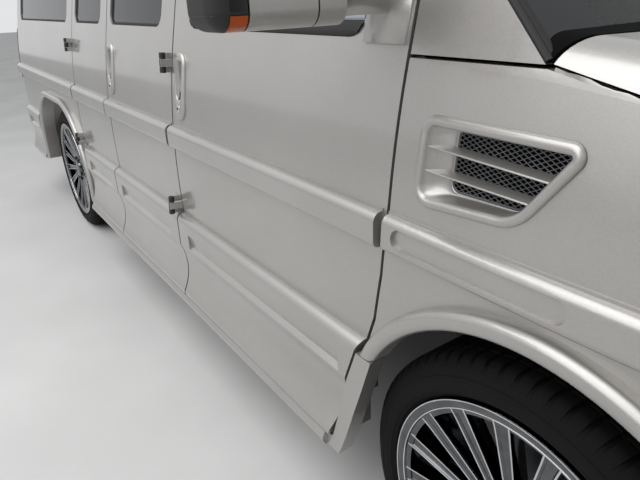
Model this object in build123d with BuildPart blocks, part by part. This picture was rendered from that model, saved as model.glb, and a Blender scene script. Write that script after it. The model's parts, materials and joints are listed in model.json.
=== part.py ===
from build123d import *
from math import cos, hypot, radians
import os

# Full-size van at real size, in millimetres. +X is forward, +Y is left, +Z is up.
# The origin is on the floor, below the middle of the overall length and width.
# Names that end in _X are measured along X from the front axle unless they say so.

# Overall sizes
LENGTH = 5692.0
WHEELBASE = 3429.0
FRONT_OVERHANG = 905.0
ROOF_Z = 2073.0
AXLE_F = LENGTH / 2 - FRONT_OVERHANG
AXLE_R = AXLE_F - WHEELBASE

# Body section across: a crest low on the side, an arc up to the belt, then straight glass sides
HALF_WIDTH = 1003.0
CREST_Z = 808.0
BODY_LOW_Z = 345.0
LOW_DROP = 21.0
BELT_Z = 1268.0
BELT_DROP = 50.0
ROOF_EDGE_Z = 2033.0
ROOF_CORNER_R = 150.0
RAIL_Z = 1884.0

# Body length and walls
BODY_REAR = AXLE_F - 4630.0
REAR_CORNER_R = 90.0
WALL = 60.0
SKIN = 12.0
FLANGE = 18.0
GAP = 8.0
GLASS_DEPTH = 9.0
GLASS = 6.0
SEAT_GAP = 0.3

# Windscreen: the middle of its foot, the middle of its head and its bow across
SCREEN_FOOT = (AXLE_F + 150.0, 1300.0)
SCREEN_HEAD = (AXLE_F - 600.0, 1945.0)
SCREEN_BOW = 135.0
SCREEN_BOW_SPAN = 900.0
SCREEN_HALF_LOW = 852.0
SCREEN_HALF_TOP = 722.0
SCREEN_MARGIN = 45.0

# Side outlines
GAP_A = AXLE_F - 313.0
GAP_B = AXLE_F - 1410.0
GAP_C = AXLE_F - 2180.0
GAP_D = AXLE_F - 2807.0
DOOR_TOP_Z = 1870.0
PILLAR_FOOT_Z = 1447.0
PILLAR_SLOPE = 0.955
WINDOW_LOW_Z = 1292.0
WINDOW_TOP_Z = 1815.0
WINDOW_R = 45.0
MIRROR_PATCH = 132.0
HANDLE_W = 74.0
HANDLE_H = 205.0

# Wheel arches: middle along X, half of the flat top, middle in Z
ARCH_R = 425.0
ARCH_LIP = 40.0
ARCH_LIP_Y = 1031.0
ARCH_LIP_IN = 985.0
ARCH_LIP_ROUND = 17.0
ARCH_F = (AXLE_F + 40.0, 0.0, 434.0)
ARCH_R_REAR = (AXLE_R, 180.0, 408.0)
LINER_R = 475.0
LINER = 8.0
LINER_IN_Y = 470.0
WELL_LOW_Z = 500.0
WELL_INNER_Y = 690.0

# Side moulding and lower cladding
MOULD_Z = (914.0, 987.0)
MOULD_Y = 1022.0
MOULD_END = 14.0
MOULD_LIP = 5.0
MOULD_PROUD = 19.0
MOULD_ROUND = (13.0, 20.0)
PILL_DEPTH = 8.0
CLAD_TOP_Z = 675.0
CLAD_CREST_Y = 1030.0
CLAD_FOOT_Y = 1041.0
CLAD_BAND_END = 80.0
CLAD_BAND = (
    # depth below the crest, height: the sunk band's section from its top edge to its sloping foot
    (5.0, 616.0), (11.0, 573.0), (0.0, 560.0), (-20.0, 540.0), (-20.0, 616.0),
)

# Wheels and tyres
TYRE_R = 385.5
TYRE_W = 255.0
RIM_R = 297.0
WHEEL_Y = 852.0
RIM_FACE_Y = 975.0
HUB_R = 84.0
SPOKES = 16
SPOKE_START = 8.4
SPOKE_W = (24.0, 37.0)
RIM_LIP = 20.0
STEER_Y = 716.0

# Nose sections
NOSE_ROWS = (
    # x from front axle, half width at the crest, shoulder height, height at the middle
    (-400.0, 1003.0, 1305.0, 1340.0),
    (120.0, 1000.0, 1285.0, 1330.0),
    (500.0, 978.0, 1205.0, 1262.0),
    (840.0, 930.0, 1105.0, 1165.0),
)
NOSE_LOW_Z = 560.0
NOSE_SHOULDER_R = 75.0
NOSE_FRONT = AXLE_F + 795.0
NOSE_BOW = 120.0
NOSE_BROW_Z = 1130.0
NOSE_BROW_R = 90.0
LAMP_Y = 590.0
LAMP_Z = (850.0, 1040.0)
GRILLE_Y = 545.0
GRILLE_Z = (700.0, 1045.0)
TAIL_X = 75.0
TAIL_Y = 830.0
TAIL_Z = (880.0, 1230.0)
VENT = (
    # x from the front axle, z and corner radius: the fender vent's outline
    (-249.0, 1179.0, 30.0),
    (-253.0, 1021.0, 38.0),
    (-34.0, 1036.0, 80.0),
    (64.0, 1177.0, 20.0),
)
VENT_RIM = 15.0
VENT_PROUD = 5.0
VENT_DEPTH = 42.0
VENT_WALL = 4.0
VENT_RAMP_X = (-238.0, -172.0)
VENT_FOOT_Y = 993.0
VENT_LEAN = 0.124
MESH_DEPTH = 27.0
FIN = 7.0
PILL = (-103.0, 950.0, 360.0, 41.0)
BOARD_END = (
    # x from the front axle, z: the board's upright front end, before the door's outline is cut from it
    (-326.0, 648.0), (-358.0, 553.0), (-386.0, 475.0), (-415.0, 390.0), (-433.0, 343.0), (-452.0, 300.0),
    (-520.0, 300.0), (-520.0, 360.0), (-430.0, 648.0),
)
FENDER = 22.0
FENDER_LOW_Z = 650.0
PANEL = 40.0
HOOD = 26.0
HOOD_REAR_Z = 1268.0
HOOD_FRONT_Z = 1068.0
HOOD_REAR_X = AXLE_F - 106.0
HOOD_SEAM_X = AXLE_F - 40.0
HOOD_REAR_MID_X = AXLE_F + 205.0
PANEL_X = AXLE_F + 650.0

# Rear doors, half outline of one door: y, z on the middle of its gaps
REAR_DOOR = ((0, 640), (806, 640), (812, 900), (795, 1200), (690, 1850), (0, 1850))
REAR_WINDOW = ((110, 1300), (690, 1300), (612, 1785), (110, 1785))

# Underbody
FLOOR_Z = (655.0, 690.0)
RAIL_Y = 390.0
RAIL_W = 75.0
FRAME_Z = (430.0, 570.0)
SILL_Y = 905.0
SILL_LOW_Z = 400.0
SHEET = 12.0
FIREWALL_X = AXLE_F - 262.0
FIREWALL_Y = 880.0
SHELF_Z = (1244.0, 1256.0)
SHELF_Y = 700.0
HOUSING = (AXLE_F - 620.0, 300.0, 935.0)

FRAME_REAR = BODY_REAR - GAP
KICK = 50.0
MOUNT_X = (-900.0, -1700.0, -2500.0, -4350.0)
CROSS_LOW_Z = 535.0
HANGER_X = (-1250.0, -2250.0)
CROSS_ROWS = (
    # x from the front axle, underside, top
    (630.0, 430.0, 570.0),
    (0.0, 480.0, 545.0),
    (HANGER_X[0], CROSS_LOW_Z, 570.0),
    (HANGER_X[1], CROSS_LOW_Z, 570.0),
    (-4250.0, 430.0, 570.0),
)
# Tow hitch holes under each rail: middle from the rail's end, pitch, radius, depth
HITCH = (180.0, 100.0, 6.5, 40.0)
SPRING_T = 30.0
PIPE_R = 32.0

# Front and rear stubs, king pins and rims
STUB_Y = 930.0
STUB_R = 30.0
PIN_R = 15.0
PIN_FIT = 0.3
PIN_LOW_Z = 330.0
PIN_TOP_Z = 440.0
BARREL_R = 276.0
CORNERS = (
    # name, front or not, side
    ("front_right", True, -1),
    ("front_left", True, 1),
    ("rear_right", False, -1),
    ("rear_left", False, 1),
)

# Cab and load space
DASH_Y = 840.0
DRIVER_Y = 430.0
SEAT_ROWS = (
    # x from the front axle, middle in Y, width
    (-880.0, -430.0, 500.0),
    (-880.0, 430.0, 500.0),
    (-1880.0, -430.0, 500.0),
    (-1880.0, 430.0, 500.0),
    (-2930.0, 0.0, 1300.0),
)
SEAT_PROFILE = (
    # x from the seat's front, z
    (-80, 690), (-30, 960), (-20, 1060), (-440, 1045), (-590, 1600), (-680, 1590), (-590, 1020), (-540, 690),
)
MIRROR_Y = (1062.0, 1300.0)
MIRROR_Z = (1322.0, 1570.0)
MIRROR_DEPTH = 110.0

# Hinges: the side ones' axis leans with the body side and stands outside it all the way
HINGE_Y = 1040.0
HINGE_Z = 680.0
HINGE_LEAN = 0.085
HINGE_BACK = 12.0
KNUCKLE_R = 9.0
KNUCKLES = ((-31.0, -12.0), (-11.7, 11.7), (12.0, 31.0))
SIDE_HINGE_Z = (705.0, 1188.0)
REAR_HINGE_Y = 806.0
REAR_HINGE_OUT = 15.0
REAR_KNUCKLE_R = 7.0
REAR_HINGE_Z = (745.0, 1150.0)
POST_X = (GAP_A - 75.0, FIREWALL_X)
POST_Z = (830.0, SHELF_Z[1])
PAD_Z = (870.0, 1160.0)
FENDER_SEAT_X = (GAP_A + 12, FIREWALL_X)
FENDER_SEAT_Z = (1085.0, 1135.0)
STOP_Y = (520.0, 560.0)

# Bumpers, grille and vent
BUMPER_Z = (430.0, 642.0)
BUMPER_Y = 978.0
BUMPER_BOW = 150.0
BUMPER_T = 55.0
REAR_BUMPER_Z = (430.0, 612.0)
PLATE_Z = 520.0
PLATE_PITCH = 178.0
PLATE_HOLE_R = 3.5
GRILLE_RIM = 22.0
GRILLE_BAR = 12.0
GRILLE_CELLS = (10, 5)
VENT_FIN_Z = (1083.0, 1127.0)

os.makedirs("parts", exist_ok=True)
written = []


def save(solid, name):
    """Labels a finished piece and writes it as one STEP file."""
    solid.label = name
    export_step(solid, f"parts/{name}.step")
    written.append(name)


def mirrored(solid):
    """The same piece on the other side of the van."""
    with BuildPart() as other:
        add(solid)
        mirror(about=Plane.XZ, mode=Mode.REPLACE)
    return other.part


def cut_box(x0, x1, y0, y1, z0, z1):
    """A plain block between two corners, used to keep or remove a region."""
    with BuildPart() as block:
        with Locations(((x0 + x1) / 2, (y0 + y1) / 2, (z0 + z1) / 2)):
            Box(abs(x1 - x0), abs(y1 - y0), abs(z1 - z0))
    return block.part


def combine(first, *others, mode):
    """Adds, cuts or intersects whole solids in one builder."""
    with BuildPart() as result:
        add(first)
        for other in others:
            add(other, mode=mode)
    return result.part


def minus(first, *others):
    return combine(first, *others, mode=Mode.SUBTRACT)


def common(first, *others):
    return combine(first, *others, mode=Mode.INTERSECT)


def plus(first, *others):
    return combine(first, *others, mode=Mode.ADD)


def side_y(z):
    """How far out the body side stands at a height."""
    if z < CREST_Z:
        return HALF_WIDTH - LOW_DROP * ((CREST_Z - z) / (CREST_Z - BODY_LOW_Z)) ** 2
    return HALF_WIDTH - BELT_DROP * ((z - CREST_Z) / (BELT_Z - CREST_Z)) ** 2


def side_half():
    """Half of the body's section: low end, crest, belt, then straight to the roof corner."""
    crest = (HALF_WIDTH, CREST_Z)
    low = TangentArc(crest, (HALF_WIDTH - LOW_DROP, BODY_LOW_Z), tangent=(0, -1))
    high = TangentArc(crest, (HALF_WIDTH - BELT_DROP, BELT_Z), tangent=(0, 1))
    lean = high % 1
    top = (high @ 1) + lean * ((ROOF_EDGE_Z - BELT_Z) / lean.Y)
    Line(high @ 1, top)
    return low @ 1, top


def screen_plane():
    """A plane at the windscreen's foot, square to its rake; local +y points into the cab."""
    rise = (SCREEN_HEAD[0] - SCREEN_FOOT[0], 0, SCREEN_HEAD[1] - SCREEN_FOOT[1])
    return Plane(origin=(SCREEN_FOOT[0], 0, SCREEN_FOOT[1]), x_dir=(0, 1, 0), z_dir=rise)


def behind_screen(inset):
    """Everything behind the bowed windscreen."""
    wide = 1.3 * SCREEN_BOW_SPAN
    bow = inset + SCREEN_BOW * (wide / SCREEN_BOW_SPAN) ** 2
    with BuildPart() as region:
        with BuildSketch(screen_plane()):
            with BuildLine():
                ThreePointArc((-wide, bow), (0, inset), (wide, bow))
                Polyline((wide, bow), (wide, LENGTH), (-wide, LENGTH), (-wide, bow))
            make_face()
        extrude(amount=LENGTH, both=True)
    return region.part


def cab_volume(inset, drop=0.0):
    """The cab and load space as one rounded solid, set in by a wall; drop lowers its foot."""
    with BuildPart() as volume:
        with BuildSketch(Plane.YZ.offset(BODY_REAR + inset)) as section:
            with BuildLine():
                foot, top = side_half()
                mirror(about=Plane.YZ)
                ThreePointArc(top, (0, ROOF_Z), (-top.X, top.Y))
                Line(foot, (-foot.X, foot.Y))
            make_face()
            fillet(section.vertices().group_by(Axis.Y)[-1], radius=ROOF_CORNER_R)
            if inset:
                offset(amount=-inset)
            if drop:
                with Locations((0, BODY_LOW_Z)):
                    Rectangle(2 * (foot.X - inset), 2 * (drop + inset + 1))
        extrude(amount=LENGTH)
        rear = volume.faces().sort_by(Axis.X)[0]
        low = section.vertices().sort_by(Axis.Y)[0].Y
        fillet(rear.edges().filter_by(lambda edge: edge.center().Z > low + 1),
               radius=max(REAR_CORNER_R - inset, 20))
        add(behind_screen(inset), mode=Mode.INTERSECT)
    return volume.part


def side_prism(points, radius, grow=0.0, right=True, inner_y=300.0):
    """A prism through one side from an outline in XZ, its corners rounded, grown by grow."""
    with BuildPart() as prism:
        with BuildSketch(Plane.XZ.offset(inner_y)) as outline:
            with BuildLine():
                Polyline(*points, close=True)
            make_face()
            fillet(outline.vertices(), radius=radius)
            if grow:
                offset(amount=grow, kind=Kind.INTERSECTION)
        extrude(amount=1.5 * HALF_WIDTH - inner_y)
    return prism.part if right else mirrored(prism.part)


def front_door_outline():
    """The front door seen from the side, on the middle of its gaps."""
    lean_x = GAP_A - PILLAR_SLOPE * (DOOR_TOP_Z - PILLAR_FOOT_Z)
    return [
        (GAP_B, BODY_LOW_Z), (AXLE_F - 478, BODY_LOW_Z), (AXLE_F - 441, 460), (AXLE_F - 414, 560),
        (AXLE_F - 377, 655), (AXLE_F - 345, 740), (AXLE_F - 325, 850), (GAP_A, 1000),
        (GAP_A, PILLAR_FOOT_Z), (lean_x, DOOR_TOP_Z), (GAP_B, DOOR_TOP_Z),
    ]


def front_window_outline():
    top_x = GAP_A - 84 - PILLAR_SLOPE * (WINDOW_TOP_Z - PILLAR_FOOT_Z)
    foot_z = PILLAR_FOOT_Z + (MIRROR_PATCH - 84) / PILLAR_SLOPE
    return [
        (GAP_B + 130, WINDOW_LOW_Z), (GAP_A - MIRROR_PATCH, WINDOW_LOW_Z), (GAP_A - MIRROR_PATCH, foot_z),
        (top_x, WINDOW_TOP_Z), (GAP_B + 130, WINDOW_TOP_Z),
    ]


def upright_outline(x0, x1, z0=BODY_LOW_Z, z1=DOOR_TOP_Z):
    return [(x0, z0), (x1, z0), (x1, z1), (x0, z1)]


def rear_leaf_outline():
    """The rear side leaf, its rear foot cut away round the wheel arch."""
    return [
        (AXLE_F - 2768, BODY_LOW_Z), (GAP_C, BODY_LOW_Z), (GAP_C, DOOR_TOP_Z), (GAP_D, DOOR_TOP_Z),
        (GAP_D, 700), (AXLE_F - 2770, 560),
    ]


def arch_prism(arch, radius, y0, y1, low=0.0):
    """A wheel arch's opening as a prism along Y: two quarter rounds, with a flat between or none."""
    middle, flat, height = arch
    front = middle + flat
    rear = middle - flat
    part_way = radius * cos(radians(45))
    with BuildPart() as prism:
        with BuildSketch(Plane.XZ.offset(-y1)):
            with BuildLine():
                Polyline(
                    (rear - radius, height), (rear - radius, low), (front + radius, low),
                    (front + radius, height))
                ThreePointArc(
                    (front + radius, height), (front + part_way, height + part_way), (front, height + radius))
                if flat:
                    Line((front, height + radius), (rear, height + radius))
                ThreePointArc((rear, height + radius), (rear - part_way, height + part_way), (rear - radius,
                    height))
            make_face()
        extrude(amount=y1 - y0)
    return prism.part


def arch_flare(arch, low):
    """The proud rounded lip round a wheel arch on the right side, down to a height."""
    ring = minus(
        arch_prism(arch, ARCH_R + ARCH_LIP, -ARCH_LIP_Y, -ARCH_LIP_IN),
        arch_prism(arch, ARCH_R, -ARCH_LIP_Y - 1, -ARCH_LIP_IN + 1, low=-1),
    )
    with BuildPart() as lip:
        add(ring)
        face = lip.faces().sort_by(Axis.Y)[0]
        edges = face.edges().filter_by(lambda edge: edge.center().Z > low - 200)
        fillet(edges, radius=ARCH_LIP_ROUND)
        with Locations((arch[0], -ARCH_LIP_Y, low - 500)):
            Box(4 * ARCH_R, 4 * ARCH_LIP, 1000, mode=Mode.SUBTRACT)
    return lip.part


def moulding(x0, x1):
    """The rounded rubbing strip along the right side between two places, with a thin lip above and below."""
    low, high = MOULD_Z
    inner_y = HALF_WIDTH - 30
    lip_low = side_y(low) + 3
    lip_high = side_y(high) + 3
    with BuildPart() as strip:
        with BuildSketch(Plane.YZ.offset(x0)) as section:
            with BuildLine():
                Polyline(
                    (-inner_y, low - MOULD_LIP), (-lip_low, low - MOULD_LIP), (-lip_low, low),
                    (-MOULD_Y, low),
                    (-MOULD_Y, high), (-lip_high, high), (-lip_high, high + MOULD_LIP),
                    (-inner_y, high + MOULD_LIP), close=True)
            make_face()
            outer = section.vertices().group_by(Axis.X)[0].sort_by(Axis.Y)
            fillet(outer[0], radius=MOULD_ROUND[0])
            outer = section.vertices().group_by(Axis.X)[0].sort_by(Axis.Y)
            fillet(outer[-1], radius=MOULD_ROUND[1])
        extrude(amount=x1 - x0)
    return strip.part


def cladding(x0, x1):
    """The lower panel along the right side: a crest, a sunk ribbed band and a hollow flare to its foot."""
    inner_y = HALF_WIDTH - 40
    band_low = CLAD_BAND[2][1]
    with BuildPart() as panel:
        with BuildSketch(Plane.YZ.offset(x0)):
            with BuildLine():
                top = Line((-inner_y, CLAD_TOP_Z), (-HALF_WIDTH - 2, CLAD_TOP_Z))
                crest = ThreePointArc(
                    top @ 1, (-CLAD_CREST_Y + 6, CLAD_TOP_Z - 11), (-CLAD_CREST_Y, CLAD_TOP_Z - 34))
                band = Line(crest @ 1, (-CLAD_CREST_Y, band_low - 6))
                hollow_middle = (-CLAD_CREST_Y + 16, (band_low + BODY_LOW_Z) / 2 + 8)
                hollow = ThreePointArc(band @ 1, hollow_middle, (-CLAD_FOOT_Y, BODY_LOW_Z + 20))
                foot = Line(hollow @ 1, (-CLAD_FOOT_Y, BODY_LOW_Z + GAP / 2))
                Polyline(foot @ 1, (-inner_y, BODY_LOW_Z + GAP / 2), (-inner_y, CLAD_TOP_Z))
            make_face()
        extrude(amount=x1 - x0)
        with BuildSketch(Plane.YZ.offset(x0 + CLAD_BAND_END)):
            with BuildLine():
                Polyline(*[(depth - CLAD_CREST_Y, z) for depth, z in CLAD_BAND], close=True)
            make_face()
        extrude(amount=x1 - x0 - 2 * CLAD_BAND_END, mode=Mode.SUBTRACT)
    return panel.part


def rear_prism(points, radius, grow=0.0):
    """A prism through one rear door, on the right, from an outline of (y, z) rows."""
    with BuildPart() as prism:
        with BuildSketch(Plane.YZ.offset(BODY_REAR - 60)) as outline:
            with BuildLine():
                Polyline(*[(-y, z) for y, z in points], close=True)
            make_face()
            fillet(outline.vertices(), radius=radius)
            if grow:
                offset(amount=grow, kind=Kind.INTERSECTION)
        extrude(amount=500)
    return prism.part


def screen_prism(grow=0.0):
    """A prism through the windscreen, square to its rake."""
    rake = hypot(SCREEN_HEAD[0] - SCREEN_FOOT[0], SCREEN_HEAD[1] - SCREEN_FOOT[1])
    along = screen_plane()
    with BuildPart() as prism:
        face = Plane(origin=along.origin, x_dir=(0, 1, 0), z_dir=-along.y_dir)
        with BuildSketch(face) as outline:
            with BuildLine():
                Polyline(
                    (SCREEN_HALF_LOW, SCREEN_MARGIN), (SCREEN_HALF_TOP, rake - SCREEN_MARGIN),
                    (-SCREEN_HALF_TOP, rake - SCREEN_MARGIN), (-SCREEN_HALF_LOW, SCREEN_MARGIN), close=True)
            make_face()
            fillet(outline.vertices(), radius=WINDOW_R)
            if grow:
                offset(amount=grow, kind=Kind.INTERSECTION)
        extrude(amount=600, both=True)
    return prism.part


def nose_volume(inset):
    """The fenders and hood as one closed solid, set in by a wall."""
    with BuildPart() as volume:
        for x, half_width, shoulder, middle in NOSE_ROWS:
            low_drop = LOW_DROP * ((CREST_Z - NOSE_LOW_Z) / (CREST_Z - BODY_LOW_Z)) ** 2
            high_drop = BELT_DROP * ((shoulder - CREST_Z) / (BELT_Z - CREST_Z)) ** 2
            with BuildSketch(Plane.YZ.offset(AXLE_F + x)) as section:
                with BuildLine():
                    crest = (half_width, CREST_Z)
                    low = TangentArc(crest, (half_width - low_drop, NOSE_LOW_Z), tangent=(0, -1))
                    high = TangentArc(crest, (half_width - high_drop, shoulder), tangent=(0, 1))
                    mirror(about=Plane.YZ)
                    top = high @ 1
                    ThreePointArc(top, (0, middle), (-top.X, top.Y))
                    Line(low @ 1, (-(low @ 1).X, NOSE_LOW_Z))
                make_face()
                fillet(section.vertices().group_by(Axis.Y)[-1], radius=NOSE_SHOULDER_R)
                if inset:
                    offset(amount=-inset)
        loft()
        with BuildSketch(Plane.XY) as plan:
            with BuildLine():
                wide = HALF_WIDTH + 60
                ThreePointArc((NOSE_FRONT - NOSE_BOW, -wide), (NOSE_FRONT, 0), (NOSE_FRONT - NOSE_BOW, wide))
                Polyline((NOSE_FRONT - NOSE_BOW, wide), (0, wide), (0, -wide), (NOSE_FRONT - NOSE_BOW, -wide))
            make_face()
            if inset:
                offset(amount=-inset)
        extrude(amount=2 * ROOF_Z, mode=Mode.INTERSECT)
        with BuildSketch(Plane.XZ.offset(-2 * HALF_WIDTH)) as profile:
            with BuildLine():
                Polyline((0, 0), (NOSE_FRONT, 0), (NOSE_FRONT, NOSE_BROW_Z), (NOSE_FRONT - 300,
                    NOSE_BROW_Z + 90),
                         (0, 2 * ROOF_Z), close=True)
            make_face()
            fillet(profile.vertices().sort_by(Axis.X)[-1:], radius=NOSE_BROW_R)
            if inset:
                offset(amount=-inset)
        extrude(amount=4 * HALF_WIDTH, mode=Mode.INTERSECT)
    return volume.part


def seam_region(above, margin):
    """Everything above or below the seam between the hood and the fenders."""
    far = 3 * ROOF_Z if above else -ROOF_Z
    shift = margin if above else -margin
    with BuildPart() as region:
        with BuildSketch(Plane.XZ.offset(-2 * HALF_WIDTH)):
            with BuildLine():
                Polyline(
                    (0, HOOD_REAR_Z + shift), (HOOD_SEAM_X, HOOD_REAR_Z + shift),
                    (LENGTH / 2, HOOD_FRONT_Z + shift), (LENGTH / 2, far), (0, far), close=True)
            make_face()
        extrude(amount=4 * HALF_WIDTH)
    return region.part


def hood_plan(margin):
    """Everything ahead of the hood's bowed rear edge."""
    wide = HALF_WIDTH + 60
    with BuildPart() as region:
        with BuildSketch(Plane.XY):
            with BuildLine():
                rear = HOOD_REAR_X + margin
                ThreePointArc((rear, -wide), (HOOD_REAR_MID_X + margin, 0), (rear, wide))
                Polyline((rear, wide), (LENGTH, wide), (LENGTH, -wide), (rear, -wide))
            make_face()
        extrude(amount=2 * ROOF_Z)
    return region.part


def vent_prism(grow):
    """The fender vent's outline as a prism out through the right fender."""
    with BuildPart() as prism:
        with BuildSketch(Plane.XZ.offset(800)):
            with BuildLine():
                corners = [(AXLE_F + x, z) for x, z, _ in VENT]
                FilletPolyline(*corners, radius=[radius for _, _, radius in VENT], close=True)
            make_face()
            if grow:
                offset(amount=grow)
        extrude(amount=400)
    return prism.part


def lamp_box(grow):
    """The right headlamp's place in the front panel."""
    return cut_box(PANEL_X + SEAT_GAP, LENGTH, -1200, -LAMP_Y + grow, LAMP_Z[0] - grow, LAMP_Z[1] + grow)


def grille_box(grow):
    return cut_box(PANEL_X + SEAT_GAP, LENGTH, -GRILLE_Y - grow, GRILLE_Y + grow, GRILLE_Z[0] - grow,
        GRILLE_Z[1] + grow)


def tail_box(grow):
    """The right tail lamp's place in the rear corner."""
    return cut_box(BODY_REAR - 10, BODY_REAR + TAIL_X + grow, -1200, -TAIL_Y + grow, TAIL_Z[0] - grow,
                   TAIL_Z[1] + grow)


def handle(x, z):
    """A pull handle in its recess on the right side: the cutter and the bar."""
    y = side_y(z)
    with BuildPart() as pocket:
        with BuildSketch(Plane.XZ.offset(y - 16)):
            with Locations((x, z)):
                RectangleRounded(HANDLE_W, HANDLE_H, HANDLE_W / 2 - 1)
        extrude(amount=60)
    with BuildPart() as bar:
        with BuildSketch(Plane.XZ.offset(y - 18)):
            with Locations((x, z)):
                RectangleRounded(HANDLE_W - 34, HANDLE_H - 26, 12)
        extrude(amount=24)
    return pocket.part, bar.part


def hinge_y(z):
    """How far out the side hinges' axis stands at a height."""
    return HINGE_Y - HINGE_LEAN * (z - HINGE_Z)


def side_hinge(x, z, spans, toward, strap=False):
    """One half of a side hinge on the right: knuckles on the leaning axis, and a leaf or a strap."""
    reach = hinge_y(z) - side_y(z)
    along = Plane(origin=(x, -hinge_y(z), z), x_dir=(1, 0, 0), z_dir=(0, HINGE_LEAN, 1))
    with BuildPart() as half_hinge:
        for low, high in spans:
            with BuildSketch(along.offset(low)):
                Circle(KNUCKLE_R)
                if strap:
                    with Locations((HINGE_BACK / 2, 0)):
                        Rectangle(HINGE_BACK + 3, 6)
                    with Locations((HINGE_BACK, (reach + WALL) / 2)):
                        Rectangle(3, reach + WALL + 22)
                else:
                    with Locations((toward * 7, reach / 2)):
                        Rectangle(6, reach + 2)
                    with Locations((toward * 24, reach - 1)):
                        Rectangle(40, 9)
            extrude(amount=high - low)
    return half_hinge.part


def rear_hinge(z, spans, toward):
    """One half of a rear door's hinge on the right, with its knuckles on an upright axis behind the skin."""
    with BuildPart() as half_hinge:
        for low, high in spans:
            with BuildSketch(Plane.XY.offset(z + low)):
                with Locations((BODY_REAR - REAR_HINGE_OUT, -REAR_HINGE_Y)):
                    Circle(REAR_KNUCKLE_R)
                with Locations((BODY_REAR - REAR_HINGE_OUT / 2 - 1, -REAR_HINGE_Y + toward * 8.5)):
                    Rectangle(REAR_HINGE_OUT, 9)
                with Locations((BODY_REAR - 1, -REAR_HINGE_Y + toward * 16)):
                    Rectangle(4, 13)
            extrude(amount=high - low)
    return half_hinge.part


OUTER_KNUCKLES = (KNUCKLES[0], KNUCKLES[2])
MIDDLE_KNUCKLE = (KNUCKLES[1],)

outer = cab_volume(0)
skin_inner = cab_volume(SKIN, drop=80)
inner = cab_volume(WALL, drop=80)
pillar_outer = cab_volume(WALL + 6, drop=80)
pillar_inner = cab_volume(WALL + 50, drop=80)
shell = minus(outer, inner)
skin_shell = minus(outer, skin_inner)
deep_shell = minus(skin_inner, inner)
glass_layer = minus(cab_volume(GLASS_DEPTH), cab_volume(GLASS_DEPTH + GLASS, drop=80))


def side_door(outline, window, trims, handles=()):
    """One side door on the right: its skin, its smaller inner part, window, trim and handle."""
    skin = common(skin_shell, side_prism(outline, 6, -GAP / 2))
    depth = common(deep_shell, side_prism(outline, 6, -GAP / 2 - FLANGE))
    door = minus(plus(skin, depth, *trims), side_prism(window, WINDOW_R))
    for x, z in handles:
        pocket, bar = handle(x, z)
        door = plus(minus(door, pocket), bar)
    return door


def window_glass(window, right=True):
    """The pane that fills one side window, just inside the outer skin."""
    return common(glass_layer, side_prism(window, WINDOW_R, -SEAT_GAP, right))


front_outline = front_door_outline()
front_window = front_window_outline()
leaf_outline = upright_outline(GAP_C, GAP_B)
leaf_window = upright_outline(GAP_C + 50, GAP_B - 120, WINDOW_LOW_Z, WINDOW_TOP_Z)
rear_outline = rear_leaf_outline()
rear_window = upright_outline(GAP_D + 57, GAP_C - 100, WINDOW_LOW_Z, WINDOW_TOP_Z)
quarter_window = upright_outline(AXLE_F - 4400, AXLE_F - 2930, WINDOW_LOW_Z, WINDOW_TOP_Z)

half = GAP / 2
door_front = side_door(
    front_outline, front_window,
    (moulding(GAP_B + half, GAP_A - MOULD_END),
     common(cladding(GAP_B + half, AXLE_F - 365), side_prism(front_outline, 6, -half))),
    ((AXLE_F - 1335, 1118),))
door_leaf = side_door(
    leaf_outline, leaf_window,
    (moulding(GAP_C + half, GAP_B - MOULD_END), cladding(GAP_C + half, GAP_B - half),
     *[side_hinge(GAP_B - HINGE_BACK, z, OUTER_KNUCKLES, -1) for z in SIDE_HINGE_Z]),
    ((AXLE_F - 2105, 1118),))
door_rear_leaf = side_door(
    rear_outline, rear_window,
    (moulding(GAP_D + MOULD_END, GAP_C - half), cladding(AXLE_F - 2735, GAP_C - half),
     *[side_hinge(GAP_D, z, OUTER_KNUCKLES, 1) for z in SIDE_HINGE_Z]))
save(door_front, "door_front_right")
save(mirrored(door_front), "door_front_left")
save(door_leaf, "door_side_front")
save(door_rear_leaf, "door_side_rear")
glass_front = window_glass(front_window)
save(glass_front, "glass_front_right")
save(mirrored(glass_front), "glass_front_left")
save(window_glass(leaf_window), "glass_side_front")
save(window_glass(rear_window), "glass_side_rear")
print("doors done", flush=True)

# Fixed body panels
arch_front = arch_prism(ARCH_F, ARCH_R, -1200, -LINER_IN_Y)
arch_rear = arch_prism(ARCH_R_REAR, ARCH_R, -1200, -WELL_INNER_Y)
side_openings = [side_prism(outline, 6, half) for outline in (front_outline, leaf_outline, rear_outline)]
rear_opening = rear_prism(REAR_DOOR, 22, half)
screen_opening = screen_prism()
nose = nose_volume(0)
front_low = cut_box(GAP_A + half, LENGTH, -HALF_WIDTH - 50, HALF_WIDTH + 50, -10, HOOD_REAR_Z + 2)
front_foot = cut_box(GAP_B + 200, LENGTH, -1200, 1200, -10, 1012)
rear_middle = cut_box(BODY_REAR - 10, BODY_REAR + 200, -700, 700, 0, 2 * ROOF_Z)
screen_sill = cut_box(GAP_A, LENGTH, -700, 700, 0, RAIL_Z)
below_rail = cut_box(-LENGTH, LENGTH, -1200, 1200, -10, RAIL_Z)
right_half = cut_box(-LENGTH, LENGTH, -1200, 0, -10, 2 * ROOF_Z)

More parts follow.
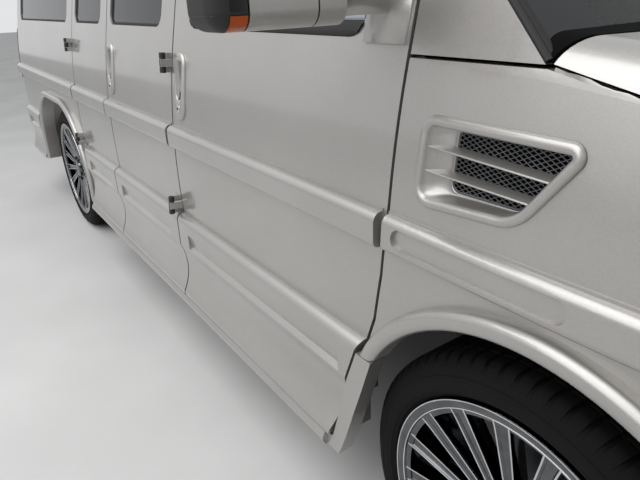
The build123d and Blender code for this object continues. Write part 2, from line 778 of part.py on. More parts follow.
well = minus(
    arch_prism(ARCH_R_REAR, LINER_R, -side_y(600) + WALL - 12, -WELL_INNER_Y + LINER),
    arch_prism(ARCH_R_REAR, LINER_R - LINER, -1200, -WELL_INNER_Y, low=-1),
    cut_box(-LENGTH, LENGTH, -1200, 1200, -10, WELL_LOW_Z),
)
side_wall = minus(common(shell, below_rail, right_half), front_low, front_foot, rear_middle, screen_sill,
                  rear_opening, screen_opening, tail_box(0.5))
flare_rear = arch_flare(ARCH_R_REAR, BODY_LOW_Z)
quarter_trim = (
    moulding(BODY_REAR + REAR_CORNER_R, GAP_D - half),
    cladding(BODY_REAR + REAR_CORNER_R + 20, AXLE_R - 180 - ARCH_R - ARCH_LIP / 2),
)
pillar_box = cut_box(GAP_B - 55, GAP_B + 55, -1200, 0, SILL_LOW_Z + 2, RAIL_Z)
pillar_head = cut_box(GAP_B - 55, GAP_B + 55, -1200, 0, DOOR_TOP_Z + half, RAIL_Z)
pillar = plus(common(minus(pillar_outer, pillar_inner), pillar_box), common(minus(inner, pillar_inner),
    pillar_head))
side_right = minus(side_wall, *side_openings)
side_right = minus(
    plus(side_right, *quarter_trim, flare_rear, pillar), arch_rear, side_prism(quarter_window, WINDOW_R))
straps = [side_hinge(GAP_B - HINGE_BACK, z, MIDDLE_KNUCKLE, 1, strap=True) for z in SIDE_HINGE_Z]
leaves = [side_hinge(GAP_D, z, MIDDLE_KNUCKLE, -1) for z in SIDE_HINGE_Z]
rear_leaves = [rear_hinge(z, MIDDLE_KNUCKLE, -1) for z in REAR_HINGE_Z]
side_right = plus(side_right, minus(well, pillar), *straps, *leaves, *rear_leaves)
save(side_right, "side_right")

left_wall = minus(side_wall, side_openings[0])
left_windows = (leaf_window, rear_window, quarter_window)
left_trim = (
    moulding(GAP_D - half, GAP_B - half), *quarter_trim,
    cladding(AXLE_F - 2735, GAP_B - half),
)
left_holes = [side_prism(window, WINDOW_R) for window in left_windows]
side_left = minus(plus(left_wall, *left_trim, flare_rear, pillar), arch_rear, *left_holes)
side_left = plus(side_left, well, *rear_leaves)
save(mirrored(side_left), "side_left")
print("sides done", flush=True)

roof_region = plus(
    cut_box(-LENGTH, LENGTH, -1200, 1200, RAIL_Z, 2 * ROOF_Z),
    cut_box(BODY_REAR - 10, BODY_REAR + 200, -700, 700, RAIL_Z - 80, RAIL_Z))
roof = minus(common(shell, roof_region), screen_opening, rear_opening, mirrored(rear_opening))
save(roof, "roof")
screen = common(glass_layer, screen_prism(-SEAT_GAP))
save(screen, "windscreen")
panes = plus(
    window_glass(quarter_window), window_glass(quarter_window, False),
    window_glass(leaf_window, False), window_glass(rear_window, False))
save(panes, "glass_side_fixed")

rear_skin = common(skin_shell, rear_prism(REAR_DOOR, 22, -half))
rear_depth = common(deep_shell, rear_prism(REAR_DOOR, 22, -half - FLANGE))
rear_straps = [rear_hinge(z, OUTER_KNUCKLES, 1) for z in REAR_HINGE_Z]
door_rear = minus(plus(rear_skin, rear_depth, *rear_straps), rear_prism(REAR_WINDOW, WINDOW_R))
save(door_rear, "door_rear_right")
save(mirrored(door_rear), "door_rear_left")
glass_rear = common(glass_layer, rear_prism(REAR_WINDOW, WINDOW_R, -SEAT_GAP))
save(glass_rear, "glass_rear_right")
save(mirrored(glass_rear), "glass_rear_left")
print("rear done", flush=True)

# Nose panels
def nose_shift(inward):
    """The nose moved sideways into its right side, so that its side face stands in by that depth."""
    return nose.moved(Location((0, inward, 0)))


fender_reach = cut_box(GAP_A + half, PANEL_X, -1200, -800, MOULD_Z[0], MOULD_Z[1])
lip_reach = cut_box(GAP_A + half, PANEL_X, -1200, -800, MOULD_Z[0] - MOULD_LIP, MOULD_Z[1] + MOULD_LIP)
fender_strip = common(nose_shift(-MOULD_PROUD), fender_reach)
for place, radius in zip((0, -1), MOULD_ROUND):
    long_edges = fender_strip.edges().filter_by(lambda edge: edge.length > 500).group_by(Axis.Z)[place]
    fender_strip = fender_strip.fillet(radius, [long_edges.sort_by(Axis.Y)[0]])
with BuildPart() as pill_prism:
    with BuildSketch(Plane.XZ.offset(900)):
        with Locations((AXLE_F + PILL[0], PILL[1])):
            SlotOverall(PILL[2], PILL[3])
    extrude(amount=200)
pill = minus(pill_prism.part, nose_shift(PILL_DEPTH - MOULD_PROUD))
nose_inside = nose_volume(FENDER)
nose_skin = minus(nose, nose_inside)
hood_skin = minus(nose, nose_volume(HOOD))
below_seam = seam_region(False, half)
fender_region = cut_box(GAP_A - 90, PANEL_X, -1200, 0, FENDER_LOW_Z, 2 * ROOF_Z)
fender = minus(
    plus(common(nose_skin, below_seam, fender_region),
         minus(plus(fender_strip, common(nose_shift(-3), lip_reach)), nose_inside),
         arch_flare(ARCH_F, FENDER_LOW_Z)),
    arch_front, side_openings[0], vent_prism(SEAT_GAP), pill)
save(fender, "fender_right")
save(mirrored(fender), "fender_left")
hood = common(hood_skin, seam_region(True, half), hood_plan(half))
save(hood, "hood")
cowl_top = minus(common(hood_skin, seam_region(True, half)), hood_plan(-half), behind_screen(0))
panel = common(minus(nose, nose_volume(PANEL)), below_seam,
               cut_box(PANEL_X + SEAT_GAP, LENGTH, -1200, 1200, FENDER_LOW_Z, 2 * ROOF_Z))
stop = common(nose_skin, seam_region(True, -half - 1), seam_region(False, SEAT_GAP - half),
              cut_box(PANEL_X + 20, LENGTH, -STOP_Y[1], -STOP_Y[0], FENDER_LOW_Z, 2 * ROOF_Z))
panel = minus(panel, lamp_box(0.5), mirrored(lamp_box(0.5)), grille_box(0.5))
save(plus(panel, stop, mirrored(stop)), "front_panel")
lamp = common(minus(nose_volume(3), nose_volume(PANEL + 15)), lamp_box(0))
save(plus(lamp, mirrored(lamp)), "headlamps")
print("nose done", flush=True)

# Fender vents: a proud rim round a sunk pan with a ramp behind, a mesh plate and two fins
def vent_layer(low, high, region):
    """The part of a region that lies between two depths below the fender's face."""
    return common(minus(nose_shift(low), nose_shift(high)), region)


vent_outline = vent_prism(0)
ramp_rear, ramp_front = AXLE_F + VENT_RAMP_X[0], AXLE_F + VENT_RAMP_X[1]
with BuildPart() as ramp:
    with BuildSketch(Plane.XY.offset(VENT[1][1] - 10)):
        with BuildLine():
            Polyline(
                (ramp_rear, 1 - VENT_FOOT_Y), (ramp_front, MESH_DEPTH - VENT_FOOT_Y),
                (ramp_front, VENT_DEPTH - VENT_FOOT_Y), (ramp_rear, VENT_DEPTH - VENT_FOOT_Y), close=True)
        make_face()
    extrude(amount=180, dir=(0, VENT_LEAN, 1))
fin_reach = plus(*[
    cut_box(ramp_rear + 14, AXLE_F + 200, -1200, -800, z - FIN / 2, z + FIN / 2) for z in VENT_FIN_Z])
behind_ramp = cut_box(0, ramp_front, -1200, 0, 0, ROOF_Z)
vent = plus(
    vent_layer(-VENT_PROUD, VENT_WALL, minus(vent_outline, vent_prism(-VENT_RIM))),
    vent_layer(VENT_WALL / 2, VENT_DEPTH, minus(vent_outline, vent_prism(-VENT_WALL))),
    vent_layer(VENT_DEPTH - VENT_WALL, VENT_DEPTH, vent_outline),
    common(ramp.part, vent_prism(-VENT_WALL / 2)),
    vent_layer(MESH_DEPTH, MESH_DEPTH + SHEET, minus(vent_prism(-VENT_WALL / 2), behind_ramp)),
    vent_layer(0, VENT_DEPTH, common(vent_prism(-VENT_RIM / 2), fin_reach)))
save(plus(vent, mirrored(vent)), "fender_vents")

# Grille: a plate with its cells cut through, in a frame
pitch_y = (2 * GRILLE_Y - 2 * GRILLE_RIM) / GRILLE_CELLS[0]
pitch_z = (GRILLE_Z[1] - GRILLE_Z[0] - 2 * GRILLE_RIM) / GRILLE_CELLS[1]
with BuildPart() as holes:
    with BuildSketch(Plane.YZ.offset(PANEL_X - 50)):
        with Locations((0, (GRILLE_Z[0] + GRILLE_Z[1]) / 2)):
            with GridLocations(pitch_y, pitch_z, *GRILLE_CELLS):
                Rectangle(pitch_y - GRILLE_BAR, pitch_z - GRILLE_BAR)
    extrude(amount=600)
grille = minus(common(nose_skin, grille_box(0)), holes.part)
save(grille, "grille")
tail = common(minus(cab_volume(-3), cab_volume(30, drop=80)), tail_box(0))
save(plus(tail, mirrored(tail)), "tail_lamps")
print("lamps done", flush=True)

# Cowl, firewall with its engine housing, and the shelf under the windscreen
with BuildPart() as firewall:
    with BuildSketch(Plane.XZ.offset(-FIREWALL_Y)):
        with BuildLine():
            Polyline(
                (AXLE_F - 440, FLOOR_Z[1]), (FIREWALL_X, 890), (FIREWALL_X, SHELF_Z[1]),
                (FIREWALL_X - SHEET, SHELF_Z[1]), (FIREWALL_X - SHEET, 890 + SHEET / 2),
                (AXLE_F - 440 - 1.5 * SHEET, FLOOR_Z[1]), close=True)
        make_face()
    extrude(amount=2 * FIREWALL_Y)
    add(cut_box(HOUSING[0], FIREWALL_X, -HOUSING[1], HOUSING[1], FLOOR_Z[1], HOUSING[2]))
    add(cut_box(HOUSING[0] + SHEET, LENGTH, -HOUSING[1] + SHEET, HOUSING[1] - SHEET, 0, HOUSING[2] - SHEET),
        mode=Mode.SUBTRACT)
    shelf = cut_box(FIREWALL_X - SHEET, LENGTH, -SHELF_Y, SHELF_Y, *SHELF_Z)
    add(common(shelf, behind_screen(WALL / 2), nose_inside))
band = minus(common(shell, cut_box(GAP_A, LENGTH, -700, 700, SHELF_Z[1], RAIL_Z)), screen_opening)
post = common(minus(pillar_outer, pillar_inner), cut_box(*POST_X, -1200, 0, *POST_Z))
pad_layer = minus(cab_volume(WALL + SEAT_GAP, drop=80), pillar_inner)
pads = [common(pad_layer, cut_box(POST_X[0], GAP_A - 30, -1200, 0, z, z + 45)) for z in PAD_Z]
fender_seat = minus(
    common(nose_inside.moved(Location((0, SEAT_GAP, 0))), cut_box(*FENDER_SEAT_X, -1200, 0, *FENDER_SEAT_Z)),
    pillar_outer)
hinge_post = plus(post, *pads, fender_seat)
save(plus(firewall.part, cowl_top, band, hinge_post, mirrored(hinge_post)), "cowl")

# Floor with its sills, cut for the wheel wells and the engine housing
with BuildPart() as floor:
    add(cut_box(BODY_REAR + WALL + GAP, AXLE_F - 440, -HALF_WIDTH, HALF_WIDTH, *FLOOR_Z))
    add(inner, mode=Mode.INTERSECT)
    add(cut_box(GAP_D + half, LENGTH, -HALF_WIDTH, -SILL_Y, 0, ROOF_Z), mode=Mode.SUBTRACT)
    add(cut_box(GAP_B + half, LENGTH, SILL_Y, HALF_WIDTH, 0, ROOF_Z), mode=Mode.SUBTRACT)
    add(cut_box(HOUSING[0] + SHEET, LENGTH, -HOUSING[1] + SHEET, HOUSING[1] - SHEET, 0, ROOF_Z),
        mode=Mode.SUBTRACT)
    for side in (-1, 1):
        add(cut_box(AXLE_F - 2768, AXLE_F - 500, side * SILL_Y, side * (SILL_Y - 45), SILL_LOW_Z, FLOOR_Z[1]))
    well_hole = arch_prism(ARCH_R_REAR, LINER_R, -1200, -WELL_INNER_Y + LINER)
    add(well_hole, mode=Mode.SUBTRACT)
    add(mirrored(well_hole), mode=Mode.SUBTRACT)
    add(cut_box(BODY_REAR, BODY_REAR + WALL + GAP, -695, 695, FRAME_Z[1] + 2, REAR_DOOR[0][1] - GAP))
    add(cut_box(BODY_REAR + WALL, BODY_REAR + WALL + 60, -695, 695, FRAME_Z[1] + 2, FLOOR_Z[0]))
save(minus(floor.part, pillar, mirrored(pillar)), "floor")

# Front wheel liners inside the fenders
liner = minus(
    common(arch_prism(ARCH_F, LINER_R, -1200, -LINER_IN_Y + LINER), nose_inside),
    arch_prism(ARCH_F, LINER_R - LINER, -1300, -LINER_IN_Y, low=-1),
    cut_box(GAP_B, GAP_A + half, -1200, 0, 0, ROOF_Z))
save(plus(liner, mirrored(liner)), "wheel_liners")
print("floor done", flush=True)

# Bumpers
with BuildPart() as front_bumper:
    with BuildSketch(Plane.XY.offset(BUMPER_Z[0])) as plan:
        with BuildLine():
            ThreePointArc((LENGTH / 2 - BUMPER_BOW, -BUMPER_Y), (LENGTH / 2, 0), (LENGTH / 2 - BUMPER_BOW,
                BUMPER_Y))
            Polyline((LENGTH / 2 - BUMPER_BOW, BUMPER_Y), (AXLE_F + 530, BUMPER_Y + 10),
                     (AXLE_F + 530, -BUMPER_Y - 10), (LENGTH / 2 - BUMPER_BOW, -BUMPER_Y))
        make_face()
        fillet(plan.vertices().group_by(Axis.X)[-1], radius=120)
    extrude(amount=BUMPER_Z[1] - BUMPER_Z[0])
    brim = front_bumper.faces().sort_by(Axis.Z)[-1].edges()
    fillet(brim.filter_by(lambda edge: edge.center().X > AXLE_F + 540), radius=22)
    with BuildSketch(Plane.XY.offset(BUMPER_Z[0] - 1)):
        add(plan.sketch)
        offset(amount=-BUMPER_T)
        with Locations((AXLE_F + 530, 0)):
            Rectangle(300, 2 * (BUMPER_Y - BUMPER_T))
    extrude(amount=BUMPER_Z[1] - BUMPER_Z[0] + 2, mode=Mode.SUBTRACT)
save(front_bumper.part, "front_bumper")
with BuildPart() as rear_bumper:
    with BuildSketch(Plane.XY.offset(REAR_BUMPER_Z[0])) as plan_rear:
        with Locations(((BODY_REAR - GAP - LENGTH / 2) / 2, 0)):
            Rectangle(LENGTH / 2 + BODY_REAR - GAP, 2 * BUMPER_Y)
        fillet(plan_rear.vertices().group_by(Axis.X)[0], radius=80)
    extrude(amount=REAR_BUMPER_Z[1] - REAR_BUMPER_Z[0])
    rear_faces = rear_bumper.faces().sort_by(Axis.Z)
    fillet(rear_faces[-1].edges().filter_by(lambda edge: edge.center().X < BODY_REAR - GAP - 1), radius=18)
    with Locations((BODY_REAR - GAP - 60, 0, REAR_BUMPER_Z[1])):
        Box(70, 900, 12, mode=Mode.SUBTRACT)
    with BuildSketch(Plane.YZ.offset(-LENGTH / 2)):
        with Locations((0, PLATE_Z)):
            with GridLocations(PLATE_PITCH, 0, 2, 1):
                Circle(PLATE_HOLE_R)
    extrude(amount=30, mode=Mode.SUBTRACT)
save(rear_bumper.part, "rear_bumper")

# Running boards with their upright front ends
with BuildPart() as board:
    with BuildSketch(Plane.YZ.offset(AXLE_F - 2768)):
        with BuildLine():
            Polyline(
                (-SILL_Y + 20, SILL_LOW_Z), (-SILL_Y + 20, 300), (-CLAD_FOOT_Y + 4, 300),
                (-CLAD_FOOT_Y - 4, 316),
                (-CLAD_FOOT_Y - 4, 326), (-CLAD_FOOT_Y + 4, BODY_LOW_Z - GAP / 2),
                (-SILL_Y, BODY_LOW_Z - GAP / 2),
                (-SILL_Y, SILL_LOW_Z), close=True)
        make_face()
    extrude(amount=2768 - 500)
with BuildPart() as board_end:
    with BuildSketch(Plane.XZ.offset(ARCH_LIP_IN + 4)):
        with BuildLine():
            Polyline(*[(AXLE_F + x, z) for x, z in BOARD_END], close=True)
        make_face()
    extrude(amount=ARCH_LIP_Y - ARCH_LIP_IN - 4)
    add(side_openings[0], mode=Mode.SUBTRACT)
board_right = plus(board.part, board_end.part)
save(plus(board_right, mirrored(board_right)), "running_boards")
print("bumpers done", flush=True)

# Frame: two rails kicked up over the rear axle, with crossmembers and body mounts
rail_low, rail_high = FRAME_Z
with BuildPart() as frame:
    for side in (-1, 1):
        with BuildSketch(Plane.XZ.offset(-side * RAIL_Y - RAIL_W / 2)):
            with BuildLine():
                Polyline(
                    (FRAME_REAR, rail_low), (AXLE_R - 650, rail_low), (AXLE_R - 450, rail_low + KICK),
                    (AXLE_R + 450, rail_low + KICK), (AXLE_R + 650, rail_low), (AXLE_F - 560, rail_low),
                    (AXLE_F - 430, rail_low + KICK), (AXLE_F + 430, rail_low + KICK),
                    (AXLE_F + 560, rail_low),
                    (LENGTH / 2 - 50, rail_low), (LENGTH / 2 - 50, rail_high), (AXLE_F + 560, rail_high),
                    (AXLE_F + 430, rail_high + KICK / 2), (AXLE_F - 430, rail_high + KICK / 2),
                    (AXLE_F - 560, rail_high), (AXLE_R + 650, rail_high), (AXLE_R + 450, rail_high + KICK),
                    (AXLE_R - 450, rail_high + KICK), (AXLE_R - 650, rail_high), (FRAME_REAR, rail_high),
                    close=True)
            make_face()
        extrude(amount=RAIL_W)
        for x in MOUNT_X:
            with Locations((AXLE_F + x, side * (RAIL_Y - 5), (rail_high + FLOOR_Z[0]) / 2)):
                Cylinder(34, FLOOR_Z[0] - rail_high)
    for x, z0, z1 in CROSS_ROWS:
        add(cut_box(AXLE_F + x - 40, AXLE_F + x + 40, -RAIL_Y, RAIL_Y, z0, z1))
    for side in (-1, 1):
        with BuildSketch(Plane.XY.offset(rail_low)):
            with Locations((FRAME_REAR + HITCH[0], side * RAIL_Y)):
                with GridLocations(HITCH[1], 0, 2, 1):
                    Circle(HITCH[2])
        extrude(amount=HITCH[3], mode=Mode.SUBTRACT)
    add(front_bumper.part, mode=Mode.SUBTRACT)
save(frame.part, "frame")

# Engine with its gearbox, and the radiator ahead of it
with BuildPart() as engine:
    block_half = HOUSING[1] - 35
    add(cut_box(HOUSING[0] + 60, AXLE_F + 330, -block_half, block_half, rail_low + KICK + 70,
        HOUSING[2] - 50))
    add(cut_box(AXLE_F - 1100, HOUSING[0] + 60, -140, 140, 430, FLOOR_Z[0] - 25))
    add(cut_box(HOUSING[0] + 60, AXLE_F - 300, -140, 140, 430, rail_low + KICK + 70))
save(engine.part, "engine")
with BuildPart() as radiator:
    add(cut_box(AXLE_F + 610, AXLE_F + 655, -360, 360, rail_high, 1010))
save(radiator.part, "radiator")

# Rear axle with its springs and propeller shaft
with BuildPart() as rear_axle:
    with Locations(Location((AXLE_R, 0, TYRE_R), (90, 0, 0))):
        Cylinder(42, 2 * (STUB_Y - 110))
    with Locations((AXLE_R, 0, TYRE_R)):
        Sphere(125)
    for side in (-1, 1):
        with Locations(Location((AXLE_R, side * (STUB_Y - 92), TYRE_R), (90, 0, 0))):
            Cylinder(150, 60)
        with Locations(Location((AXLE_R, side * (STUB_Y - 40), TYRE_R), (90, 0, 0))):
            Cylinder(STUB_R, 80)
        with BuildSketch(Plane.XZ.offset(-side * RAIL_Y - 32)):
            with BuildLine():
                low_z = TYRE_R - 42 - SPRING_T
                ends = rail_low - SPRING_T
                ThreePointArc((AXLE_R - 700, ends), (AXLE_R, low_z), (AXLE_R + 700, ends))
                ThreePointArc((AXLE_R - 700, rail_low), (AXLE_R, TYRE_R - 41), (AXLE_R + 700, rail_low))
                Line((AXLE_R - 700, ends), (AXLE_R - 700, rail_low))
                Line((AXLE_R + 700, ends), (AXLE_R + 700, rail_low))
            make_face()
        extrude(amount=64)
    shaft_start = Vector(AXLE_F - 1100, 0, 490)
    shaft_end = Vector(AXLE_R + 60, 0, TYRE_R + 12)
    along = shaft_end - shaft_start
    with BuildSketch(Plane(origin=shaft_start, z_dir=along)):
        Circle(42)
    extrude(amount=along.length)
    add(engine.part, mode=Mode.SUBTRACT)
save(rear_axle.part, "rear_axle")

# Front suspension: two crossed beams, springs and radius arms
with BuildPart() as suspension:
    for side in (-1, 1):
        add(cut_box(AXLE_F + side * 42 - 32, AXLE_F + side * 42 + 32, -side * 300, side * 560, 290, 350))
        with BuildSketch(Plane.XY.offset(PIN_LOW_Z + 4)):
            with BuildLine():
                Polyline(
                    (AXLE_F + side * 42 - 32, side * 550), (AXLE_F + side * 42 + 32, side * 550),
                    (AXLE_F + 34, side * STEER_Y), (AXLE_F - 34, side * STEER_Y), close=True)
            make_face()
        extrude(amount=42)
        with Locations((AXLE_F, side * STEER_Y, (PIN_LOW_Z + PIN_TOP_Z) / 2)):
            Cylinder(38, PIN_TOP_Z - PIN_LOW_Z)
            Cylinder(PIN_R + PIN_FIT, 400, mode=Mode.SUBTRACT)
        with Locations((AXLE_F, side * RAIL_Y, (350 + rail_low + KICK) / 2)):
            Cylinder(52, rail_low + KICK - 350)
        with BuildSketch(Plane.XZ.offset(-side * 500 - 22)):
            with BuildLine():
                Polyline(
                    (AXLE_F + side * 42, 300), (AXLE_F - 700, rail_low + 20), (AXLE_F - 700, rail_low + 65),
                    (AXLE_F + side * 42, 350), close=True)
            make_face()
        extrude(amount=44)
        rail_face = side * (RAIL_Y + RAIL_W / 2)
        add(cut_box(AXLE_F - 700, AXLE_F - 650, rail_face, side * 520, rail_low + 20, rail_low + 60))
        beam_x = AXLE_F + side * 42
        add(cut_box(beam_x - 25, beam_x + 25, -side * 300, -side * 250, 350, rail_low + KICK))
save(suspension.part, "front_suspension")
print("frame done", flush=True)

# Steering knuckles with king pin, stub, disc and steering arm
with BuildPart() as knuckle:
    with Locations((AXLE_F, -STEER_Y, 385)):
        Cylinder(PIN_R, 190)
    for z in (PIN_LOW_Z - 22, PIN_TOP_Z + 22):
        add(cut_box(AXLE_F - 34, AXLE_F + 34, -STEER_Y - 66, -STEER_Y + 30, z - 15, z + 15))
    add(cut_box(AXLE_F - 34, AXLE_F + 34, -STEER_Y - 66, -STEER_Y - 46, PIN_LOW_Z - 30, PIN_TOP_Z + 30))
    with Locations(Location((AXLE_F, -STEER_Y - 80, TYRE_R), (90, 0, 0))):
        Cylinder(158, 26)
    with Locations(Location((AXLE_F, -(STEER_Y + 60 + STUB_Y) / 2, TYRE_R), (90, 0, 0))):
        Cylinder(STUB_R, STUB_Y - STEER_Y - 60)
    add(cut_box(AXLE_F - 190, AXLE_F, -STEER_Y - 60, -STEER_Y - 40, 315, 345))
save(knuckle.part, "knuckle_right")
save(mirrored(knuckle.part), "knuckle_left")

# Wheels and tyres, built about the Y axis at the origin and set at each corner
with BuildPart() as tyre:
    with BuildSketch(Plane.XY):
        with BuildLine():
            w = TYRE_W / 2
            Polyline(
                (BARREL_R + SEAT_GAP, -w + 34), (BARREL_R + SEAT_GAP, w - 34), (RIM_R + 2, w - 17),
                (RIM_R + 32, w),
                (TYRE_R - 28, w - 6), (TYRE_R, w - 32), (TYRE_R, -w + 32), (TYRE_R - 28, -w + 6),
                (RIM_R + 32, -w), (RIM_R + 2, -w + 17), close=True)
        make_face()
    revolve(axis=Axis.Y)

rim_out = WHEEL_Y - RIM_FACE_Y
spoke_end = BARREL_R - 4
with BuildPart() as blades:
    with BuildSketch(Plane.XZ.offset(-rim_out - 76)):
        with PolarLocations(0, SPOKES, start_angle=SPOKE_START):
            with BuildLine(mode=Mode.PRIVATE) as edge:
                Polyline(
                    (HUB_R - 18, -SPOKE_W[0] / 2), (spoke_end, -SPOKE_W[1] / 2), (spoke_end, SPOKE_W[1] / 2),
                    (HUB_R - 18, SPOKE_W[0] / 2), close=True)
            add(make_face(edge.edges(), mode=Mode.PRIVATE))
    extrude(amount=80)
with BuildPart() as dish:
    with BuildSketch(Plane.XY):
        with BuildLine():
            Polyline(
                (HUB_R - 16, rim_out + 32), (spoke_end, rim_out + 9), (spoke_end, rim_out + 46),
                (HUB_R - 16, rim_out + 72), close=True)
        make_face()
    revolve(axis=Axis.Y)
with BuildPart() as wheel:
    with BuildSketch(Plane.XY):
        with BuildLine():
            Polyline(
                (BARREL_R - 12, rim_out + 12), (RIM_R - RIM_LIP, rim_out + 8), (RIM_R - RIM_LIP, rim_out + 3),
                (RIM_R - 2, rim_out), (RIM_R, rim_out + 2), (RIM_R, rim_out + 12), (BARREL_R, rim_out + 28),
                (BARREL_R, w - 24), (RIM_R - 8, w - 14), (RIM_R - 8, w - 6), (BARREL_R - 12, w - 18),
                close=True)
        make_face()
    revolve(axis=Axis.Y)
    with BuildSketch(Plane.XY):
        with BuildLine():
            Polyline(
                (0, rim_out + 18), (HUB_R - 40, rim_out + 18), (HUB_R - 30, rim_out + 30),
                (HUB_R, rim_out + 34),
                (HUB_R, rim_out + 74), (0, rim_out + 74), close=True)
        make_face()
    revolve(axis=Axis.Y)
    add(common(blades.part, dish.part))
    with Locations(Location((0, rim_out + 74, 0), (90, 0, 0))):
        Cylinder(STUB_R + SEAT_GAP, 60, mode=Mode.SUBTRACT)

for corner, x, side in CORNERS:
    place = Location((AXLE_F if x else AXLE_R, side * WHEEL_Y, TYRE_R))
    rim_solid = wheel.part if side < 0 else mirrored(wheel.part)
    save(tyre.part.moved(place), f"tyre_{corner}")
    save(rim_solid.moved(place), f"wheel_{corner}")
print("wheels done", flush=True)

# Fuel tank and exhaust
with BuildPart() as tank:
    add(cut_box(AXLE_F - 2700, AXLE_F - 1350, 90, RAIL_Y - RAIL_W / 2, 325, 520))
    fillet(tank.edges().filter_by(Axis.X), radius=40)
save(tank.part, "fuel_tank")
with BuildPart() as exhaust:
    route = (
        (AXLE_F - 540, -200, 470), (AXLE_F - 900, -240, 400), (AXLE_R + 560, -240, 395),
        (AXLE_R + 220, -240, 505),
        (AXLE_R - 260, -240, 505), (AXLE_R - 720, -240, 385), (AXLE_R - 980, -420, 382),
        (AXLE_R - 1010, -860, 372),
    )
    with BuildLine() as run:
        FilletPolyline(*route, radius=110)
    with BuildSketch(Plane(origin=run.line @ 0, z_dir=run.line % 0)):
        Circle(PIPE_R)
    sweep()
    with Locations(Location((AXLE_F - 2100, -240, 398), (0, 90, 0))):
        Cylinder(88, 560)
    for x in HANGER_X:
        add(cut_box(AXLE_F + x - 15, AXLE_F + x + 15, -243, -237, 400, CROSS_LOW_Z - SEAT_GAP))
    add(engine.part, mode=Mode.SUBTRACT)
save(exhaust.part, "exhaust")

# Dashboard with its steering column and wheel
with BuildPart() as dash:
    with BuildSketch(Plane.XZ.offset(-DASH_Y)):
        with BuildLine():
            Polyline(
                (FIREWALL_X - SHEET, SHELF_Z[0]), (AXLE_F - 520, SHELF_Z[0] - 6), (AXLE_F - 610, 1165),
                (AXLE_F - 575, 1010), (AXLE_F - 500, HOUSING[2]), (FIREWALL_X - SHEET, HOUSING[2]),
                close=True)
        make_face()
    extrude(amount=2 * DASH_Y)
    fillet(dash.edges().filter_by(Axis.Y).group_by(Axis.X)[0], radius=35)
    column = Plane(origin=(AXLE_F - 560, DRIVER_Y, 1050), z_dir=(-0.82, 0, 0.35))
    with BuildSketch(column):
        Circle(30)
    extrude(amount=200)
    with BuildSketch(column.offset(190)):
        Circle(195)
        Circle(165, mode=Mode.SUBTRACT)
        Rectangle(60, 350)
        Rectangle(350, 40)
    extrude(amount=26)
save(dash.part, "dashboard")

# Seats: four single ones and a bench, from one side profile
seat_parts = []
for x, y, width in SEAT_ROWS:
    with BuildPart() as seat:
        with BuildSketch(Plane.XZ.offset(-y - width / 2)) as seat_profile:
            with BuildLine():
                Polyline(*[(AXLE_F + x + px, pz) for px, pz in SEAT_PROFILE], close=True)
            make_face()
            fillet(seat_profile.vertices().filter_by(lambda corner: corner.Y > FLOOR_Z[1] + 1), radius=24)
        extrude(amount=width)
    seat_parts.append(seat.part)
save(plus(*seat_parts), "seats")

# Door mirrors: a plate on the door's skin, an arm and the head
with BuildPart() as door_mirror:
    plate = minus(cab_volume(-6), outer)
    add(common(plate, cut_box(GAP_A - 125, GAP_A - 12, -1200, -700, 1285, 1420)))
    add(cut_box(GAP_A - 110, GAP_A - 62, -MIRROR_Y[0], -side_y(1380) + 30, 1335, 1385))
    with Locations((GAP_A - 86, -(MIRROR_Y[0] + MIRROR_Y[1]) / 2, (MIRROR_Z[0] + MIRROR_Z[1]) / 2)):
        Box(MIRROR_DEPTH, MIRROR_Y[1] - MIRROR_Y[0], MIRROR_Z[1] - MIRROR_Z[0])
    fillet(door_mirror.edges().filter_by(lambda edge: edge.center().Y < -MIRROR_Y[0] - 5), radius=30)
    add(outer, mode=Mode.SUBTRACT)
save(door_mirror.part, "mirror_right")
save(mirrored(door_mirror.part), "mirror_left")
print(len(written), "pieces", flush=True)
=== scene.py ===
"""The full-size van's looks: stage, camera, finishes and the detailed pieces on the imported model."""
import json
import math

import bmesh
import bpy
from mathutils import Matrix, Vector
from mathutils.bvhtree import BVHTree


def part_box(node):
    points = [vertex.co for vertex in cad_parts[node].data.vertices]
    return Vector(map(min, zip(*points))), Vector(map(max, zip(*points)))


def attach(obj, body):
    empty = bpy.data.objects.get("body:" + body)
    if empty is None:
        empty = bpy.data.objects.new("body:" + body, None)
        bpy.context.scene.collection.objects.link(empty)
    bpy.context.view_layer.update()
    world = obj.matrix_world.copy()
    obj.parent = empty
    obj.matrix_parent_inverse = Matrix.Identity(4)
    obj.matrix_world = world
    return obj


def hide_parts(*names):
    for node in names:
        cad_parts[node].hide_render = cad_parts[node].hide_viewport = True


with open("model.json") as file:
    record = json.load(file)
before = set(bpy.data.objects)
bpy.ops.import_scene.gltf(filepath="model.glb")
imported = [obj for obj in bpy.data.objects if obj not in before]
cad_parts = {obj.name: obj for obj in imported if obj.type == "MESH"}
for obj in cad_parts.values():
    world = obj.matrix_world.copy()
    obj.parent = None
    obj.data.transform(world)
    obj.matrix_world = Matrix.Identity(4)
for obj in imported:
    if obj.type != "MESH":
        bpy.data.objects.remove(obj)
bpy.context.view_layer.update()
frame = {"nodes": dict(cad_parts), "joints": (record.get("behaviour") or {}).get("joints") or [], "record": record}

bl_info = {
    "name": "Full-size van looks",
    "version": (1, 0, 0),
    "blender": (4, 5, 0),
    "location": "3D View > Sidebar > Van",
    "description": "Finishes, trim, wheels, seats and stage for the full-size van",
    "category": "Object",
}

JOINTS = {joint["name"]: joint for joint in frame["joints"]}
CORNERS = ("front_right", "front_left", "rear_right", "rear_left")
SIDES = (("right", -1), ("left", 1))
MM = 0.001
AXLE_X = JOINTS["spin_front_right"]["pos_m"][0]
BOTH_ENDS = (0, -1)
LAST_END = (-1,)

